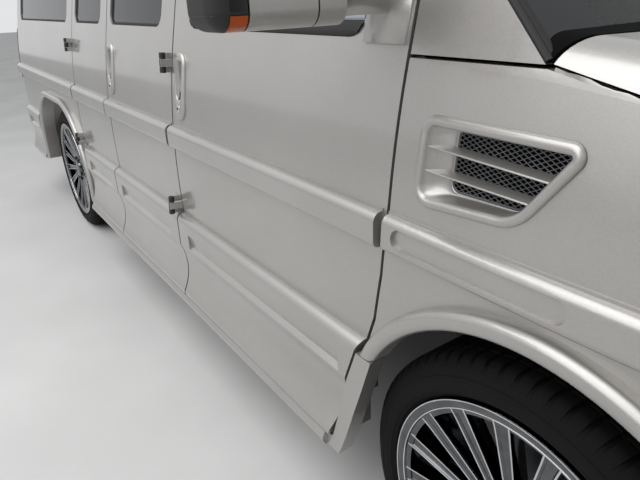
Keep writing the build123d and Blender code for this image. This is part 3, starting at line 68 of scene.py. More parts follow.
# The wheel and tyre, in millimetres from the wheel's middle; depths run inwards from the rim's face
RIM_OUT = 123.0
RIM_R = 297.0
HUB_R = 84.0
SPOKES = 16
SPOKE_TURN = 8.4
TYRE_R = 385.5
TYRE_HALF = 127.5


# Shader makers

def linear(hex_colour):
    """An sRGB hex colour as the linear RGBA that a shader takes."""
    values = [int(hex_colour[i:i + 2], 16) / 255 for i in (1, 3, 5)]
    return (*[v / 12.92 if v <= 0.04045 else ((v + 0.055) / 1.055) ** 2.4 for v in values], 1.0)


def add_node(tree, kind, values=None, links=None, **settings):
    """Adds one shader node with its settings, its fixed inputs and its linked inputs."""
    made = tree.nodes.new(kind)
    for name, value in settings.items():
        setattr(made, name, value)
    for socket, value in (values or {}).items():
        made.inputs[socket].default_value = value
    for socket, source in (links or {}).items():
        tree.links.new(source, made.inputs[socket])
    return made


def new_material(name):
    """An empty node material with its output and one Principled shader, joined."""
    material = bpy.data.materials.new(name)
    material.use_nodes = True
    tree = material.node_tree
    tree.nodes.clear()
    shader = add_node(tree, "ShaderNodeBsdfPrincipled")
    add_node(tree, "ShaderNodeOutputMaterial", links={"Surface": shader.outputs["BSDF"]})
    place = add_node(tree, "ShaderNodeTexCoord").outputs["Object"]
    return material, tree, shader, place


def set_inputs(shader, **values):
    """Sets the Principled shader's own sockets, named with underscores for spaces."""
    for name, value in values.items():
        shader.inputs[name.replace("_", " ")].default_value = value


def two_tone(tree, factor, low, high, start, end):
    """A ramp between two hex colours, driven by a factor."""
    ramp = add_node(tree, "ShaderNodeValToRGB", links={"Fac": factor})
    for element, place, tone in zip(ramp.color_ramp.elements, (start, end), (low, high)):
        element.position = place
        element.color = linear(tone)
    return ramp.outputs["Color"]


def spread(tree, factor, low, high):
    """A factor from 0 to 1 brought to a range of roughness."""
    return add_node(tree, "ShaderNodeMapRange", values={"To Min": low, "To Max": high},
                    links={"Value": factor}).outputs["Result"]


def noise(tree, place, size_mm, detail=3.0, roughness=0.5):
    """Cloudy noise whose patches are about size_mm across."""
    return add_node(tree, "ShaderNodeTexNoise", links={"Vector": place}, values={
        "Scale": 1 / (size_mm * MM), "Detail": detail, "Roughness": roughness}).outputs["Fac"]


def leather_grain(tree, place, size_mm):
    """Soft cells like the leather grain of a plastic mould."""
    return add_node(tree, "ShaderNodeTexVoronoi", feature="SMOOTH_F1", links={"Vector": place},
                    values={"Scale": 1 / (size_mm * MM)}).outputs["Distance"]


def bands(tree, place, axis, apart_mm):
    """Soft parallel bands across an axis; a wave's scale counts twentieths of a band."""
    return add_node(tree, "ShaderNodeTexWave", bands_direction=axis, links={"Vector": place},
                    values={"Scale": 1 / (apart_mm * MM) / 20}).outputs["Fac"]


def bump(tree, shader, height, depth_mm, strength):
    """Raises the surface by a height from 0 to 1, up to depth_mm."""
    made = add_node(tree, "ShaderNodeBump", values={"Distance": depth_mm * MM, "Strength": strength},
                    links={"Height": height})
    tree.links.new(made.outputs["Normal"], shader.inputs["Normal"])


def clouded(name, tones, cloud, span=(0.0, 1.0), rough=None, rough_cloud=None, tooth=None, **sockets):
    """A material whose tone drifts with cloudy noise between two hex colours, over a fine tooth.

    cloud holds the noise's size in millimetres and its settings, and span the part of it between the tones.
    Where rough is given, the roughness drifts over that range with the same noise, or with rough_cloud's.
    tooth is a maker of heights, what it takes, how deep it goes in millimetres and its strength.
    """
    material, tree, shader, place = new_material(name)
    drift = noise(tree, place, *cloud)
    tree.links.new(two_tone(tree, drift, *tones, *span), shader.inputs["Base Color"])
    if rough:
        wear = noise(tree, place, *rough_cloud) if rough_cloud else drift
        tree.links.new(spread(tree, wear, *rough), shader.inputs["Roughness"])
    if tooth:
        heights, taken, depth_mm, strength = tooth
        bump(tree, shader, heights(tree, place, *taken), depth_mm, strength)
    set_inputs(shader, **sockets)
    return material


# Materials

def metallic_enamel():
    """Base-and-clear metallic enamel, sprayed and polished: fine flake under a glossy clear coat."""
    material, tree, shader, place = new_material("metallic_enamel")
    look = bpy.context.scene.van_looks
    # Aluminium flake is about 0.05 mm across; it is drawn at 0.9 mm so that it shows as a fine sparkle
    flake = add_node(tree, "ShaderNodeTexVoronoi", values={"Scale": 1 / (0.9 * MM)},
                     links={"Vector": place}).outputs["Color"]
    base = two_tone(tree, noise(tree, place, 420), look.paint_low, look.paint_high, 0.3, 0.7)
    grain = add_node(tree, "ShaderNodeSeparateColor", links={"Color": flake}).outputs["Red"]
    sparkle = add_node(tree, "ShaderNodeMix", data_type="RGBA", blend_type="OVERLAY",
                       values={"Factor": 0.10}, links={"A": base, "B": flake}).outputs["Result"]
    grey = add_node(tree, "ShaderNodeHueSaturation", values={"Saturation": 0.55}, links={"Color": sparkle})
    tree.links.new(grey.outputs["Color"], shader.inputs["Base Color"])
    tree.links.new(spread(tree, grain, 0.33, 0.46), shader.inputs["Roughness"])
    # Orange peel left by the spray, about 5 mm from crest to crest
    bump(tree, shader, noise(tree, place, 5, 1.0), 0.02, 0.35)
    set_inputs(shader, Metallic=0.72, Coat_Weight=1.0, Coat_Roughness=0.09, Coat_IOR=1.5)
    return material


def woven_cloth():
    """Woven seat cloth: a plain weave of 1.4 mm threads, drawn at 3 mm so that it shows."""
    material, tree, shader, place = new_material("woven_seat_cloth")
    threads = {number: bands(tree, place, axis, 3.0) for number, axis in enumerate("XZ")}
    weave = add_node(tree, "ShaderNodeMath", operation="MAXIMUM", links=threads).outputs["Value"]
    pile = noise(tree, place, 160, 4.0)
    tree.links.new(two_tone(tree, pile, "#5B5852", "#726E66", 0.3, 0.7), shader.inputs["Base Color"])
    bump(tree, shader, weave, 0.3, 0.6)
    set_inputs(shader, Roughness=0.9, Sheen_Weight=0.3, Sheen_Roughness=0.5)
    return material


def make_materials():
    """All the materials of the van by the record's slot, with a few extra ones."""
    # Toughened or laminated glass, smooth on both faces
    glass = {"cloud": (300,), "rough_cloud": (90,), "Transmission_Weight": 1.0, "IOR": 1.45}
    # Polished chrome plating: mirror-like, with faint wiping marks
    chrome = {"cloud": (60, 5.0, 0.6), "span": (0.35, 0.65), "Metallic": 1.0}
    # Grained moulded plastic: dull
    plastic = {"cloud": (130, 4.0), "span": (0.3, 0.7), "IOR": 1.5}
    # Machined or cast metal left bare: a tone that shifts with oxide
    metal = {"cloud": (80, 6.0), "span": (0.3, 0.75), "Metallic": 1.0}
    # Brushed-on paint with road dirt and a little rust bloom
    brushed = {"cloud": (120, 8.0, 0.65), "span": (0.45, 0.85), "rough": (0.45, 0.85),
               "tooth": (noise, (6, 4.0), 0.2, 0.4)}
    # Injection-moulded lamp lens: smooth outside, with upright flutes 8 mm apart inside
    lens = {"cloud": (200,), "tooth": (bands, ("Y", 8), 0.8, 0.5), "Roughness": 0.06, "IOR": 1.49}

    def bare(name, low, high, rough, grain_mm=3.0, depth_mm=0.15):
        return clouded(name, (low, high), rough=rough, tooth=(noise, (grain_mm, 4.0), depth_mm, 0.4), **metal)

    def moulded(name, low, high, rough, grain_mm, depth_mm, gloss):
        return clouded(name, (low, high), rough=rough, tooth=(leather_grain, (grain_mm,), depth_mm, 0.5),
                       Specular_IOR_Level=gloss, **plastic)

    return {
        "body_paint": metallic_enamel(),
        "dark_glass": clouded("tinted_glass", ("#3A4043", "#42484B"), rough=(0.01, 0.05), **glass),
        "clear_glass": clouded("laminated_glass", ("#8E9C98", "#98A6A2"), rough=(0.01, 0.04), **glass),
        # Black border fired on the back of the windscreen: flat black under smooth glass
        "frit": clouded("ceramic_frit", ("#14171A", "#1B1E22"), (300,), rough=(0.02, 0.06), rough_cloud=(90,),
                        IOR=1.52),
        "chrome": clouded("chrome_plate", ("#C9CBCE", "#DFE0E2"), rough=(0.03, 0.11), **chrome),
        # Chrome darkened to a dull grey as a painted reflection of dark ground on the wheels' flats; the polished
        # edges keep the plain chrome
        "chrome_painted_dark_reflection": clouded("chrome_plate_painted_dark_reflection", ("#5C5D60", "#6E6F72"), rough=(0.05, 0.14), **chrome),
        "trim_steel": bare("bright_anodised_strip", "#A9ADB4", "#B9BDC4", (0.18, 0.3), 3.0, 0.02),
        "black_plastic": moulded("moulded_polypropylene", "#141415", "#202022", (0.45, 0.62), 1.6, 0.12, 0.5),
        # Near-black plastic, darker than the moulded black: real black parts, and painted shade in the wheel
        # arches, under the windscreen, behind the vent mesh, in the door pulls' recesses and in the key slots; it
        # also fills the mirrors' joint lines
        "black_plastic_and_painted_shade": moulded("blown_polyethylene_and_painted_shade", "#020202", "#050505", (0.8, 0.95), 2.4, 0.2, 0.1),
        # Extruded weatherstrip: matt black with a dusty bloom
        "seal": clouded("extruded_rubber", ("#0E0E0F", "#1B1B1C"), (45, 5.0), (0.35, 0.75), (0.55, 0.8),
                        tooth=(noise, (1.5,), 0.05, 0.4)),
        # Near black, darker than bare rubber as painted shade of the wheel arches, and greyer where road dust
        # stays
        "tyre": clouded("tyre_rubber_and_painted_shade", ("#060606", "#100F0F"), (70, 6.0, 0.6), (0.35, 0.8), (0.7, 0.9),
                        tooth=(noise, (2.5, 4.0), 0.15, 0.5), Specular_IOR_Level=0.2),
        "chassis_black": clouded("chassis_paint", ("#17181A", "#3A322B"), **brushed),
        "floor_paint": clouded("floor_enamel", ("#4A4A49", "#5C574F"), **brushed),
        "bare_steel": bare("machined_steel", "#6F7072", "#8A8A8A", (0.28, 0.5)),
        "iron": bare("cast_iron", "#3B3733", "#55504A", (0.55, 0.8), 5.0, 0.5),
        "mesh_steel": bare("expanded_steel", "#5C5D5F", "#77787A", (0.35, 0.55), 2.0, 0.1),
        "exhaust_steel": bare("aluminised_steel", "#5D5850", "#8C867C", (0.35, 0.6)),
        "seat_fabric": woven_cloth(),
        "lamp_lens": clouded("polycarbonate_lens", ("#DDE2E4", "#E8ECEE"), Transmission_Weight=1.0, **lens),
        "tail_lens": clouded("red_acrylic_lens", ("#7A0A0C", "#8E1012"), Transmission_Weight=0.35, **lens),
        "amber_lens": clouded("amber_acrylic_lens", ("#C4500A", "#DE6A12"), Transmission_Weight=0.3, **lens),
    }


MATERIALS = {}


# Stage

class VanLooks(bpy.types.PropertyGroup):
    """Colours and camera values that a user would change."""
    paint_low: bpy.props.StringProperty(
        name="Paint, shaded", default="#A5A19B",
        description="Darker tone of the silver paint, as an sRGB hex value")
    paint_high: bpy.props.StringProperty(
        name="Paint, lit", default="#ADA9A3",
        description="Lighter tone of the silver paint, as an sRGB hex value")
    floor_colour: bpy.props.StringProperty(
        name="Floor", description="Tone of the studio floor, as an sRGB hex value", default="#D9D9D8")
    lens_mm: bpy.props.FloatProperty(
        name="Lens", description="Focal length on a 36 mm wide sensor", default=31.44, min=10.0, max=200.0,
        unit="CAMERA")
    camera_at: bpy.props.FloatVectorProperty(
        name="Camera", description="Where the camera stands", default=(2.375, -1.658, 1.367), subtype="XYZ",
        unit="LENGTH")
    camera_turn: bpy.props.FloatVectorProperty(
        name="Camera turn", description="Heading from +X, pitch and roll, in degrees",
        default=(146.02, -23.54, -2.35))


def add_object(name, data):
    """A new object in the scene."""
    made = bpy.data.objects.new(name, data)
    bpy.context.scene.collection.objects.link(made)
    return made


def make_camera(look):
    """The photograph's camera, from its heading, pitch and roll."""
    yaw, pitch, roll = (math.radians(angle) for angle in look.camera_turn)
    ahead = Vector((math.cos(yaw) * math.cos(pitch), math.sin(yaw) * math.cos(pitch), math.sin(pitch)))
    level_right = ahead.cross(Vector((0, 0, 1))).normalized()
    level_up = level_right.cross(ahead)
    right = math.cos(roll) * level_right + math.sin(roll) * level_up
    up = math.cos(roll) * level_up - math.sin(roll) * level_right
    data = bpy.data.cameras.new("photo_camera")
    data.lens = look.lens_mm
    data.sensor_width = 36.0
    data.clip_start = 0.05
    camera = add_object("photo_camera", data)
    turned = Matrix((right, up, -ahead)).transposed().to_4x4()
    camera.matrix_world = Matrix.Translation(look.camera_at) @ turned
    bpy.context.scene.camera = camera


def make_lamp(name, place, target, width, height, watts):
    """A soft rectangular lamp that points at a target."""
    data = bpy.data.lights.new(name, "AREA")
    data.shape = "RECTANGLE"
    data.size = width
    data.size_y = height
    data.energy = watts
    lamp = add_object(name, data)
    lamp.location = place
    lamp.rotation_mode = "QUATERNION"
    lamp.rotation_quaternion = (Vector(target) - Vector(place)).to_track_quat("-Z", "Y")


def make_floor(look):
    """A wide pale floor with a faint cast texture."""
    mesh = bpy.data.meshes.new("studio_floor")
    half = 40.0
    corners = [(-half, -half, 0), (half, -half, 0), (half, half, 0), (-half, half, 0)]
    mesh.from_pydata(corners, [], [(0, 1, 2, 3)])
    mesh.materials.append(clouded("cast_floor", ("#CFCFCE", look.floor_colour), (900, 6.0), (0.35, 0.65),
                                  Roughness=0.75))
    add_object("studio_floor", mesh)


def make_world():
    """A pale studio surround, bright to the camera, in gloss and through glass, and softer as light."""
    world = bpy.data.worlds.new("studio")
    bpy.context.scene.world = world
    world.use_nodes = True
    tree = world.node_tree
    tree.nodes.clear()
    path = add_node(tree, "ShaderNodeLightPath").outputs
    seen = add_node(tree, "ShaderNodeMath", operation="MAXIMUM",
                    links={0: path["Is Camera Ray"], 1: path["Is Transmission Ray"]})
    shown = add_node(tree, "ShaderNodeMath", operation="MAXIMUM",
                     links={0: seen.outputs["Value"], 1: path["Is Glossy Ray"]})
    light = add_node(tree, "ShaderNodeBackground", values={"Color": linear("#F4F5F7")},
                     links={"Strength": spread(tree, shown.outputs["Value"], 0.48, 0.85)})
    add_node(tree, "ShaderNodeOutputWorld", links={"Surface": light.outputs["Background"]})


class VAN_OT_stage(bpy.types.Operator):
    """Makes the floor, the studio light and the photograph's camera"""
    bl_idname = "van.stage"
    bl_label = "Stage"

    # Name, place, target, width and height in metres, and power in watts
    LAMPS = (
        ("overhead_lamp", (0.3, -3.4, 5.6), (0, -0.4, 1.0), 7.0, 4.4, 250),
        ("side_lamp", (1.0, -7.5, 4.2), (0.5, -1.0, 1.0), 5.0, 3.0, 110),
    )

    def execute(self, context):
        look = context.scene.van_looks
        context.scene.view_settings.view_transform = "Standard"
        make_camera(look)
        make_floor(look)
        make_world()
        for lamp in self.LAMPS:
            make_lamp(*lamp)
        return {"FINISHED"}


# Mesh makers


def make_piece(name, maker, finish, body="body", sharp=35.0):
    """Turns a bmesh into a smooth-shaded piece with its finish's material, riding on a body."""
    mesh = bpy.data.meshes.new(name)
    bmesh.ops.recalc_face_normals(maker, faces=maker.faces)
    maker.to_mesh(mesh)
    maker.free()
    mesh.shade_smooth()
    mesh.set_sharp_from_angle(angle=math.radians(sharp))
    mesh.materials.append(MATERIALS[finish])
    piece = add_object(name, mesh)
    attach(piece, body)
    return piece


def add_rings(maker, rings, closed_ring=True, closed_row=False, ends=()):
    """Skins a row of rings, each a list of points, with quads, and closes the rings at the ends named."""
    made = [[maker.verts.new(point) for point in ring] for ring in rings]
    count = len(made[0])
    for first, second in zip(made, made[1:] + made[:1] if closed_row else made[1:]):
        for i in range(count if closed_ring else count - 1):
            j = (i + 1) % count
            maker.faces.new((first[i], first[j], second[j], second[i]))
    for end in ends:
        maker.faces.new(made[end])


def ring_piece(name, rings, finish, body="body", sharp=35.0, **how):
    """A piece that is one row of rings."""
    maker = bmesh.new()
    add_rings(maker, rings, **how)
    return make_piece(name, maker, finish, body, sharp)


def circle(steps):
    """The cosine and sine of even steps once round."""
    return [(math.cos(turn), math.sin(turn)) for turn in (2 * math.pi * i / steps for i in range(steps))]


def squarish(steps, half_wide, half_high, power):
    """Points once round a rectangle whose corners are rounder the higher the power."""
    halves = (half_wide, half_high)
    return [[half * math.copysign(abs(part) ** power, part) for half, part in zip(halves, parts)]
            for parts in circle(steps)]


def add_turned(maker, profile, steps, at):
    """Turns a profile of (radius, depth) points in millimetres about the wheel's axis."""
    add_rings(maker, [[at @ (Vector((r * x, y, r * z)) * MM) for r, y in profile] for x, z in circle(steps)],
              closed_ring=False, closed_row=True)


def add_disc(maker, centre, axis, radius, height, steps, dome=0.0):
    """A short round stud with a bevelled rim, standing on a surface along an axis."""
    turn = axis.to_track_quat("Z", "X").to_matrix()
    rows = ((1.0, 0.0), (1.0, height * 0.75), (0.9, height), (0.45, height + dome * 0.8),
            (0.02, height + dome))
    add_rings(maker, [[centre + turn @ Vector((radius * share * x, radius * share * y, rise))
                       for x, y in circle(steps)] for share, rise in rows], ends=LAST_END)


def add_bar(maker, points, width, depth, across):
    """A bar of rectangular section with chamfered edges along a run of points."""
    corners = ((-1, -0.6), (-0.6, -1), (0.6, -1), (1, -0.6), (1, 0.6), (0.6, 1), (-0.6, 1), (-1, 0.6))
    rings = []
    for i, point in enumerate(points):
        ahead = (points[min(i + 1, len(points) - 1)] - points[max(i - 1, 0)]).normalized()
        side = ahead.cross(across).normalized()
        up = side.cross(ahead)
        rings.append([point + side * (width / 2 * a) + up * (depth / 2 * b) for a, b in corners])
    add_rings(maker, rings, ends=BOTH_ENDS)


def node_mesh(name):
    """A CAD node's mesh as a welded bmesh."""
    maker = bmesh.new()
    maker.from_mesh(frame["nodes"][name].data)
    bmesh.ops.remove_doubles(maker, verts=maker.verts, dist=0.02 * MM)
    return maker


def body_of_node(name):
    """The body that a CAD node rides on."""
    return next(body for body, nodes in frame["record"]["behaviour"]["bodies"].items() if name in nodes)


def surface_y(node, x, z, side):
    """How far out a node's outer face stands at a place on the van's side."""
    maker = node_mesh(node)
    hit = BVHTree.FromBMesh(maker).ray_cast(Vector((x, side * 1.3, z)), Vector((0, -side, 0)))
    maker.free()
    if hit[0] is None:
        raise RuntimeError("nothing of %s at x %.3f, z %.3f" % (node, x, z))
    return abs(hit[0].y)


def crossings(maker, axis, level):
    """Where a mesh's edges cross the plane at a level on an axis."""
    spots = []
    for edge in maker.edges:
        a, b = (vertex.co for vertex in edge.verts)
        if min(a[axis], b[axis]) <= level <= max(a[axis], b[axis]) and abs(a[axis] - b[axis]) > 1e-6:
            spots.append(a.lerp(b, (level - a[axis]) / (b[axis] - a[axis])))
    return spots


class VAN_OT_finishes(bpy.types.Operator):
    """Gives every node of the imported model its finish"""
    bl_idname = "van.finishes"
    bl_label = "Finishes"

    # Nodes whose finish differs from their slot's; the wheel liners and the cowl take the near-black plastic,
    # darker than their own black, as painted shade
    OWN_FINISH = {"wheel_liners": "black_plastic_and_painted_shade", "cowl": "black_plastic_and_painted_shade", "windscreen": "clear_glass"}

    def execute(self, context):
        MATERIALS.update(make_materials())
        slots = {part["node"]: part["material_slot"] for part in frame["record"]["subparts"]}
        for name, node in frame["nodes"].items():
            node.data.materials.clear()
            node.data.materials.append(MATERIALS[self.OWN_FINISH.get(name, slots[name])])
        return {"FINISHED"}


# Wheels and tyres

def corner_matrix(corner):
    """The wheel's frame at a corner: depth runs inwards from the rim's face, on either side of the van."""
    place = Vector(JOINTS["spin_" + corner]["pos_m"])
    mirrored = Matrix.Scale(-1, 4, (0, 1, 0)) if corner.endswith("left") else Matrix.Identity(4)
    return Matrix.Translation(place) @ mirrored


class VAN_OT_wheels(bpy.types.Operator):
    """Replaces the four plated wheels: stepped lip, sixteen channelled spokes, cap and wheel nuts"""
    bl_idname = "van.wheels"
    bl_label = "Wheels"

    # The turned sections: in from the rim's or the hub's edge, and depth
    RIM = (
        (33, 12), (25, 9.5), (21, 8.6), (20, 7), (19.4, 4.4), (17.5, 3.2), (7, 1.2), (3.5, 0.4), (1.2, 0.6),
        (0, 2.2), (0, 11.5), (4, 13), (20, 27), (22, 80), (22, 222), (10, 232), (9, 243), (13, 245),
        (31, 232), (33, 200), (33, 60), (33, 12))
    HUB = (
        (22, 74), (1, 74), (0, 72), (0, 37), (3, 34.5), (22, 33), (28, 31), (31, 21), (34, 18.8), (40, 18),
        (64, 15.5), (83.5, 15))
    # Each row of a spoke: radius, half width, depth of the face, depth of the back
    SPOKE_ROWS = (
        (62.0, 10.5, 34.0, 70.0), (84.0, 11.5, 30.0, 70.0), (130.0, 13.0, 25.5, 66.0),
        (200.0, 15.5, 18.0, 56.0), (250.0, 17.2, 12.5, 48.0), (274.0, 18.5, 9.0, 44.0))
    # Half of a spoke's section, from its side to the channel: out from the side and down from the face
    SPOKE_HALF = ((0.5, 5.0), (-1.0, 0.8), (-3.0, 0.0), (-5.0, 1.2), (-7.5, 4.2))
    NUTS = 8
    NUT_SPOT = (68.0, 34.0)
    # The polished beads round the lip: in from the rim's edge, and depth
    BEADS = ((1.2, 1.0), (19.2, 3.8))

    def add_spoke(self, maker, at):
        """One spoke: two ridges with a shallow channel between them, and deep sides."""
        rings = []
        for radius, half, face, back in self.SPOKE_ROWS:
            section = [(-half, back), *[(-half - out, face + down) for out, down in self.SPOKE_HALF],
                       *[(half + out, face + down) for out, down in reversed(self.SPOKE_HALF)], (half, back)]
            rings.append([at @ (Vector((radius, y - RIM_OUT, z)) * MM) for z, y in section])
        add_rings(maker, rings, ends=BOTH_ENDS)

    def add_edges(self, maker, at):
        """The two polished bevels that run along a spoke's sides."""
        for side in (-1, 1):
            run = [at @ (Vector((radius, face + 0.4 - RIM_OUT, side * (half - 1.6))) * MM)
                   for radius, half, face, _ in self.SPOKE_ROWS[1:]]
            add_bar(maker, run, 3.6 * MM, 2.6 * MM, Vector((0, 1, 0)))

    def execute(self, context):
        for corner in CORNERS:
            at = corner_matrix(corner)
            wheel, edges = bmesh.new(), bmesh.new()
            for edge, section, steps in ((RIM_R, self.RIM, 128), (HUB_R, self.HUB, 64)):
                add_turned(wheel, [(edge - inward, y - RIM_OUT) for inward, y in section], steps, at)
            bead = circle(8)
            for inward, depth in self.BEADS:
                add_turned(edges, [(RIM_R - inward + 1.5 * x, depth - RIM_OUT + 1.3 * y)
                                   for x, y in bead + bead[:1]], 128, at)
            for i in range(SPOKES):
                turned = at @ Matrix.Rotation(-math.radians(SPOKE_TURN + 360 / SPOKES * i), 4, "Y")
                self.add_spoke(wheel, turned)
                self.add_edges(edges, turned)
            outward = at.to_3x3() @ Vector((0, -1, 0))
            radius, depth = self.NUT_SPOT
            for i in range(self.NUTS):
                angle = math.radians((i + 0.5) * 360 / self.NUTS)
                spot = Vector((radius * math.cos(angle), depth - RIM_OUT, radius * math.sin(angle))) * MM
                add_disc(wheel, at @ spot, outward, 9.5 * MM, 17 * MM, 6, 4 * MM)
            body = "road_wheel_" + corner
            # The wheel's flats take the darkened chrome: a painted dark reflection
            plated = make_piece("plated_wheel_" + corner, wheel, "chrome_painted_dark_reflection", body, 24)
            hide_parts("wheel_" + corner)
            make_piece("polished_edges_" + corner, edges, "chrome", body, 40)
        return {"FINISHED"}


class VAN_OT_tyres(bpy.types.Operator):
    """Replaces the four tyres: ribbed shoulders, moulded bead rings, grooves and tread blocks"""
    bl_idname = "van.tyres"
    bl_label = "Tyres"

    # The sidewall: up from the rim's edge, and in from the tyre's side
    SIDEWALL = (
        (-20, 36), (1, 19), (5, 12.5), (8, 12.5), (9, 9), (18, 4), (19, 2.6), (22, 2.6), (23, 3.2), (33, 0.6),
        (45, 1.6), (46, 0.6), (49, 1.2), (50, 3))
    # The shoulder: down from the tread, and in from the tyre's side
    SHOULDER = ((28, 6.4), (24, 8.5), (12, 18), (4, 27), (1.5, 36))
    # Each groove: distance from the middle plane, width, and how far its edges lie below the tread
    GROOVES = ((72.0, 8.0, 0.5), (27.0, 9.0, 0.0), (-27.0, 9.0, 0.0), (-72.0, 8.0, 0.5))
    GROOVE_DEEP = 8.0
    PITCHES = 72
    # Columns of one pitch as shares of it, and the first one that is cut between two blocks
    COLUMNS = (0.0, 0.70, 0.74, 0.96)
    FIRST_CUT = 2

    def cut_radius(self, r):
        """A point's radius between two tread blocks: deep on the tread, shallow on the shoulder."""
        if r <= TYRE_R - 13:
            return r
        return r - (6.5 if r > TYRE_R - 6 else 3.0)

    def execute(self, context):
        side = [(RIM_R + up, TYRE_HALF - inward) for up, inward in self.SIDEWALL]
        side += [(TYRE_R - down, TYRE_HALF - inward) for down, inward in self.SHOULDER]
        profile = list(side)
        for place, width, low in self.GROOVES:
            half, deep = width / 2, self.GROOVE_DEEP
            for down, y in ((low, half), (deep, half - 1.5), (deep, 1.5 - half), (low, -half)):
                profile.append((TYRE_R - down, place + y))
        profile += [(r, -y) for r, y in reversed(side)]
        for corner in CORNERS:
            at = corner_matrix(corner)
            rings = []
            for pitch in range(self.PITCHES):
                for column, share in enumerate(self.COLUMNS):
                    ring = []
                    for r, y in profile:
                        # The far half is set half a pitch on, and the blocks lean towards the shoulders
                        shift = (0.5 if y < 0 else 0.0) + 0.35 * abs(y) / TYRE_HALF
                        angle = 2 * math.pi * (pitch + share + shift) / self.PITCHES
                        depth = self.cut_radius(r) if column >= self.FIRST_CUT else r
                        ring.append(at @ (Vector((depth * math.cos(angle), y, depth * math.sin(angle))) * MM))
                    rings.append(ring)
            body = "road_wheel_" + corner
            tyre = ring_piece("road_tyre_" + corner, rings, "tyre", body, 30, closed_row=True)
            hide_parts("tyre_" + corner)
        return {"FINISHED"}


# Windows

def pane_outlines(name, outward):
    """The closed outlines of a pane's outer faces."""
    maker = node_mesh(name)
    facing = {face for face in maker.faces if face.normal.dot(Vector(outward)) > 0.5}
    links = {}
    for edge in maker.edges:
        if len([face for face in edge.link_faces if face in facing]) == 1:
            for here, there in (edge.verts, reversed(edge.verts)):
                links.setdefault(here, []).append(there)
    loops = []
    while links:
        start = next(iter(links))
        loop, here = [start], start
        while True:
            onward = [there for there in links.pop(here, [])
                      if there in links and there not in loop or there is start and len(loop) > 2]
            if not onward or onward[0] is start:
                break
            here = onward[0]
            loop.append(here)
        loops.append([vertex.co.copy() for vertex in loop])
    maker.free()
    return [loop for loop in loops if len(loop) > 8]


class VAN_OT_seals(bpy.types.Operator):
    """Lays the extruded rubber round every pane, wider at the windscreen"""
    bl_idname = "van.seals"
    bl_label = "Window rubbers"

    RIGHT, LEFT, BACK = (0, -1, 0), (0, 1, 0), (-1, 0, 0)
    # Each node of glass and the ways that its panes face
    PANES = {
        "glass_front_right": (RIGHT,), "glass_front_left": (LEFT,), "glass_side_front": (RIGHT,),
        "glass_side_rear": (RIGHT,), "glass_side_fixed": (RIGHT, LEFT), "glass_rear_right": (BACK,),
        "glass_rear_left": (BACK,), "windscreen": ((0.7, 0, 0.7),),
    }
    WIDTH = 8.5 * MM
    SCREEN_WIDTH = 13.0 * MM
    # The rubber's section: out from the pane's edge as a share of its width, and up in millimetres
    SECTION = ((-1.1, -0.6), (-1.15, 1.2), (-0.8, 2.6), (0.0, 3.4), (0.5, 2.9), (0.72, 1.0), (0.72, -0.6))

    def execute(self, context):
        for name, ways in self.PANES.items():
            wide = self.SCREEN_WIDTH if name == "windscreen" else self.WIDTH
            for outward in ways:
                out = Vector(outward).normalized()
                for number, loop in enumerate(pane_outlines(name, outward)):
                    middle = sum(loop, Vector()) / len(loop)
                    rings = []
                    for i, point in enumerate(loop):
                        ahead = (loop[(i + 1) % len(loop)] - loop[i - 1]).normalized()
                        across = ahead.cross(out).normalized()
                        if across.dot(point - middle) < 0:
                            across = -across
                        up = ahead.cross(across).normalized()
                        if up.dot(out) < 0:
                            up = -up
                        rings.append([point + across * (wide * a) + up * (b * MM) for a, b in self.SECTION])
                    label = "rubber_%s_%s%d" % (name, "l" if outward[1] > 0 else "r", number)
                    ring_piece(label, rings, "seal", body_of_node(name), 50, closed_row=True)
        return {"FINISHED"}


# Fender vents

def rounded(corners, per_arc=10, per_edge=16):
    """A polygon with rounded corners, as points whose count doesn't depend on its shape."""
    arcs = []
    for i, (x, z, radius) in enumerate(corners):
        here = Vector((x, z))
        before = (Vector(corners[i - 1][:2]) - here).normalized()
        after = (Vector(corners[(i + 1) % len(corners)][:2]) - here).normalized()
        half = before.angle(after) / 2
        middle = here + (before + after).normalized() * (radius / math.sin(half))
        start = here + before * (radius / math.tan(half)) - middle
        end = here + after * (radius / math.tan(half)) - middle
        first = math.atan2(start.y, start.x)
        turn = (math.atan2(end.y, end.x) - first + math.pi) % (2 * math.pi) - math.pi
        angles = [first + turn * j / (per_arc - 1) for j in range(per_arc)]
        arcs.append([middle + radius * Vector((math.cos(angle), math.sin(angle))) for angle in angles])
    points = []
    for arc, onward in zip(arcs, arcs[1:] + arcs[:1]):
        points += arc
        points += [arc[-1].lerp(onward[0], (j + 1) / (per_edge + 1)) for j in range(per_edge)]
    return points


def inset(points, amount):
    """A convex outline moved inwards."""
    middle = sum(points, Vector((0, 0))) / len(points)
    moved = []
    for i, point in enumerate(points):
        along = (points[(i + 1) % len(points)] - points[i - 1]).normalized()
        inward = Vector((-along.y, along.x))
        if inward.dot(middle - point) < 0:
            inward = -inward
        moved.append(point + inward * amount)
    return moved


def inside(point, outline):
    """Whether a point lies inside a convex outline."""
    sides = zip(outline, outline[1:] + outline[:1])
    return len({(there - here).cross(point - here) > 0 for here, there in sides}) == 1


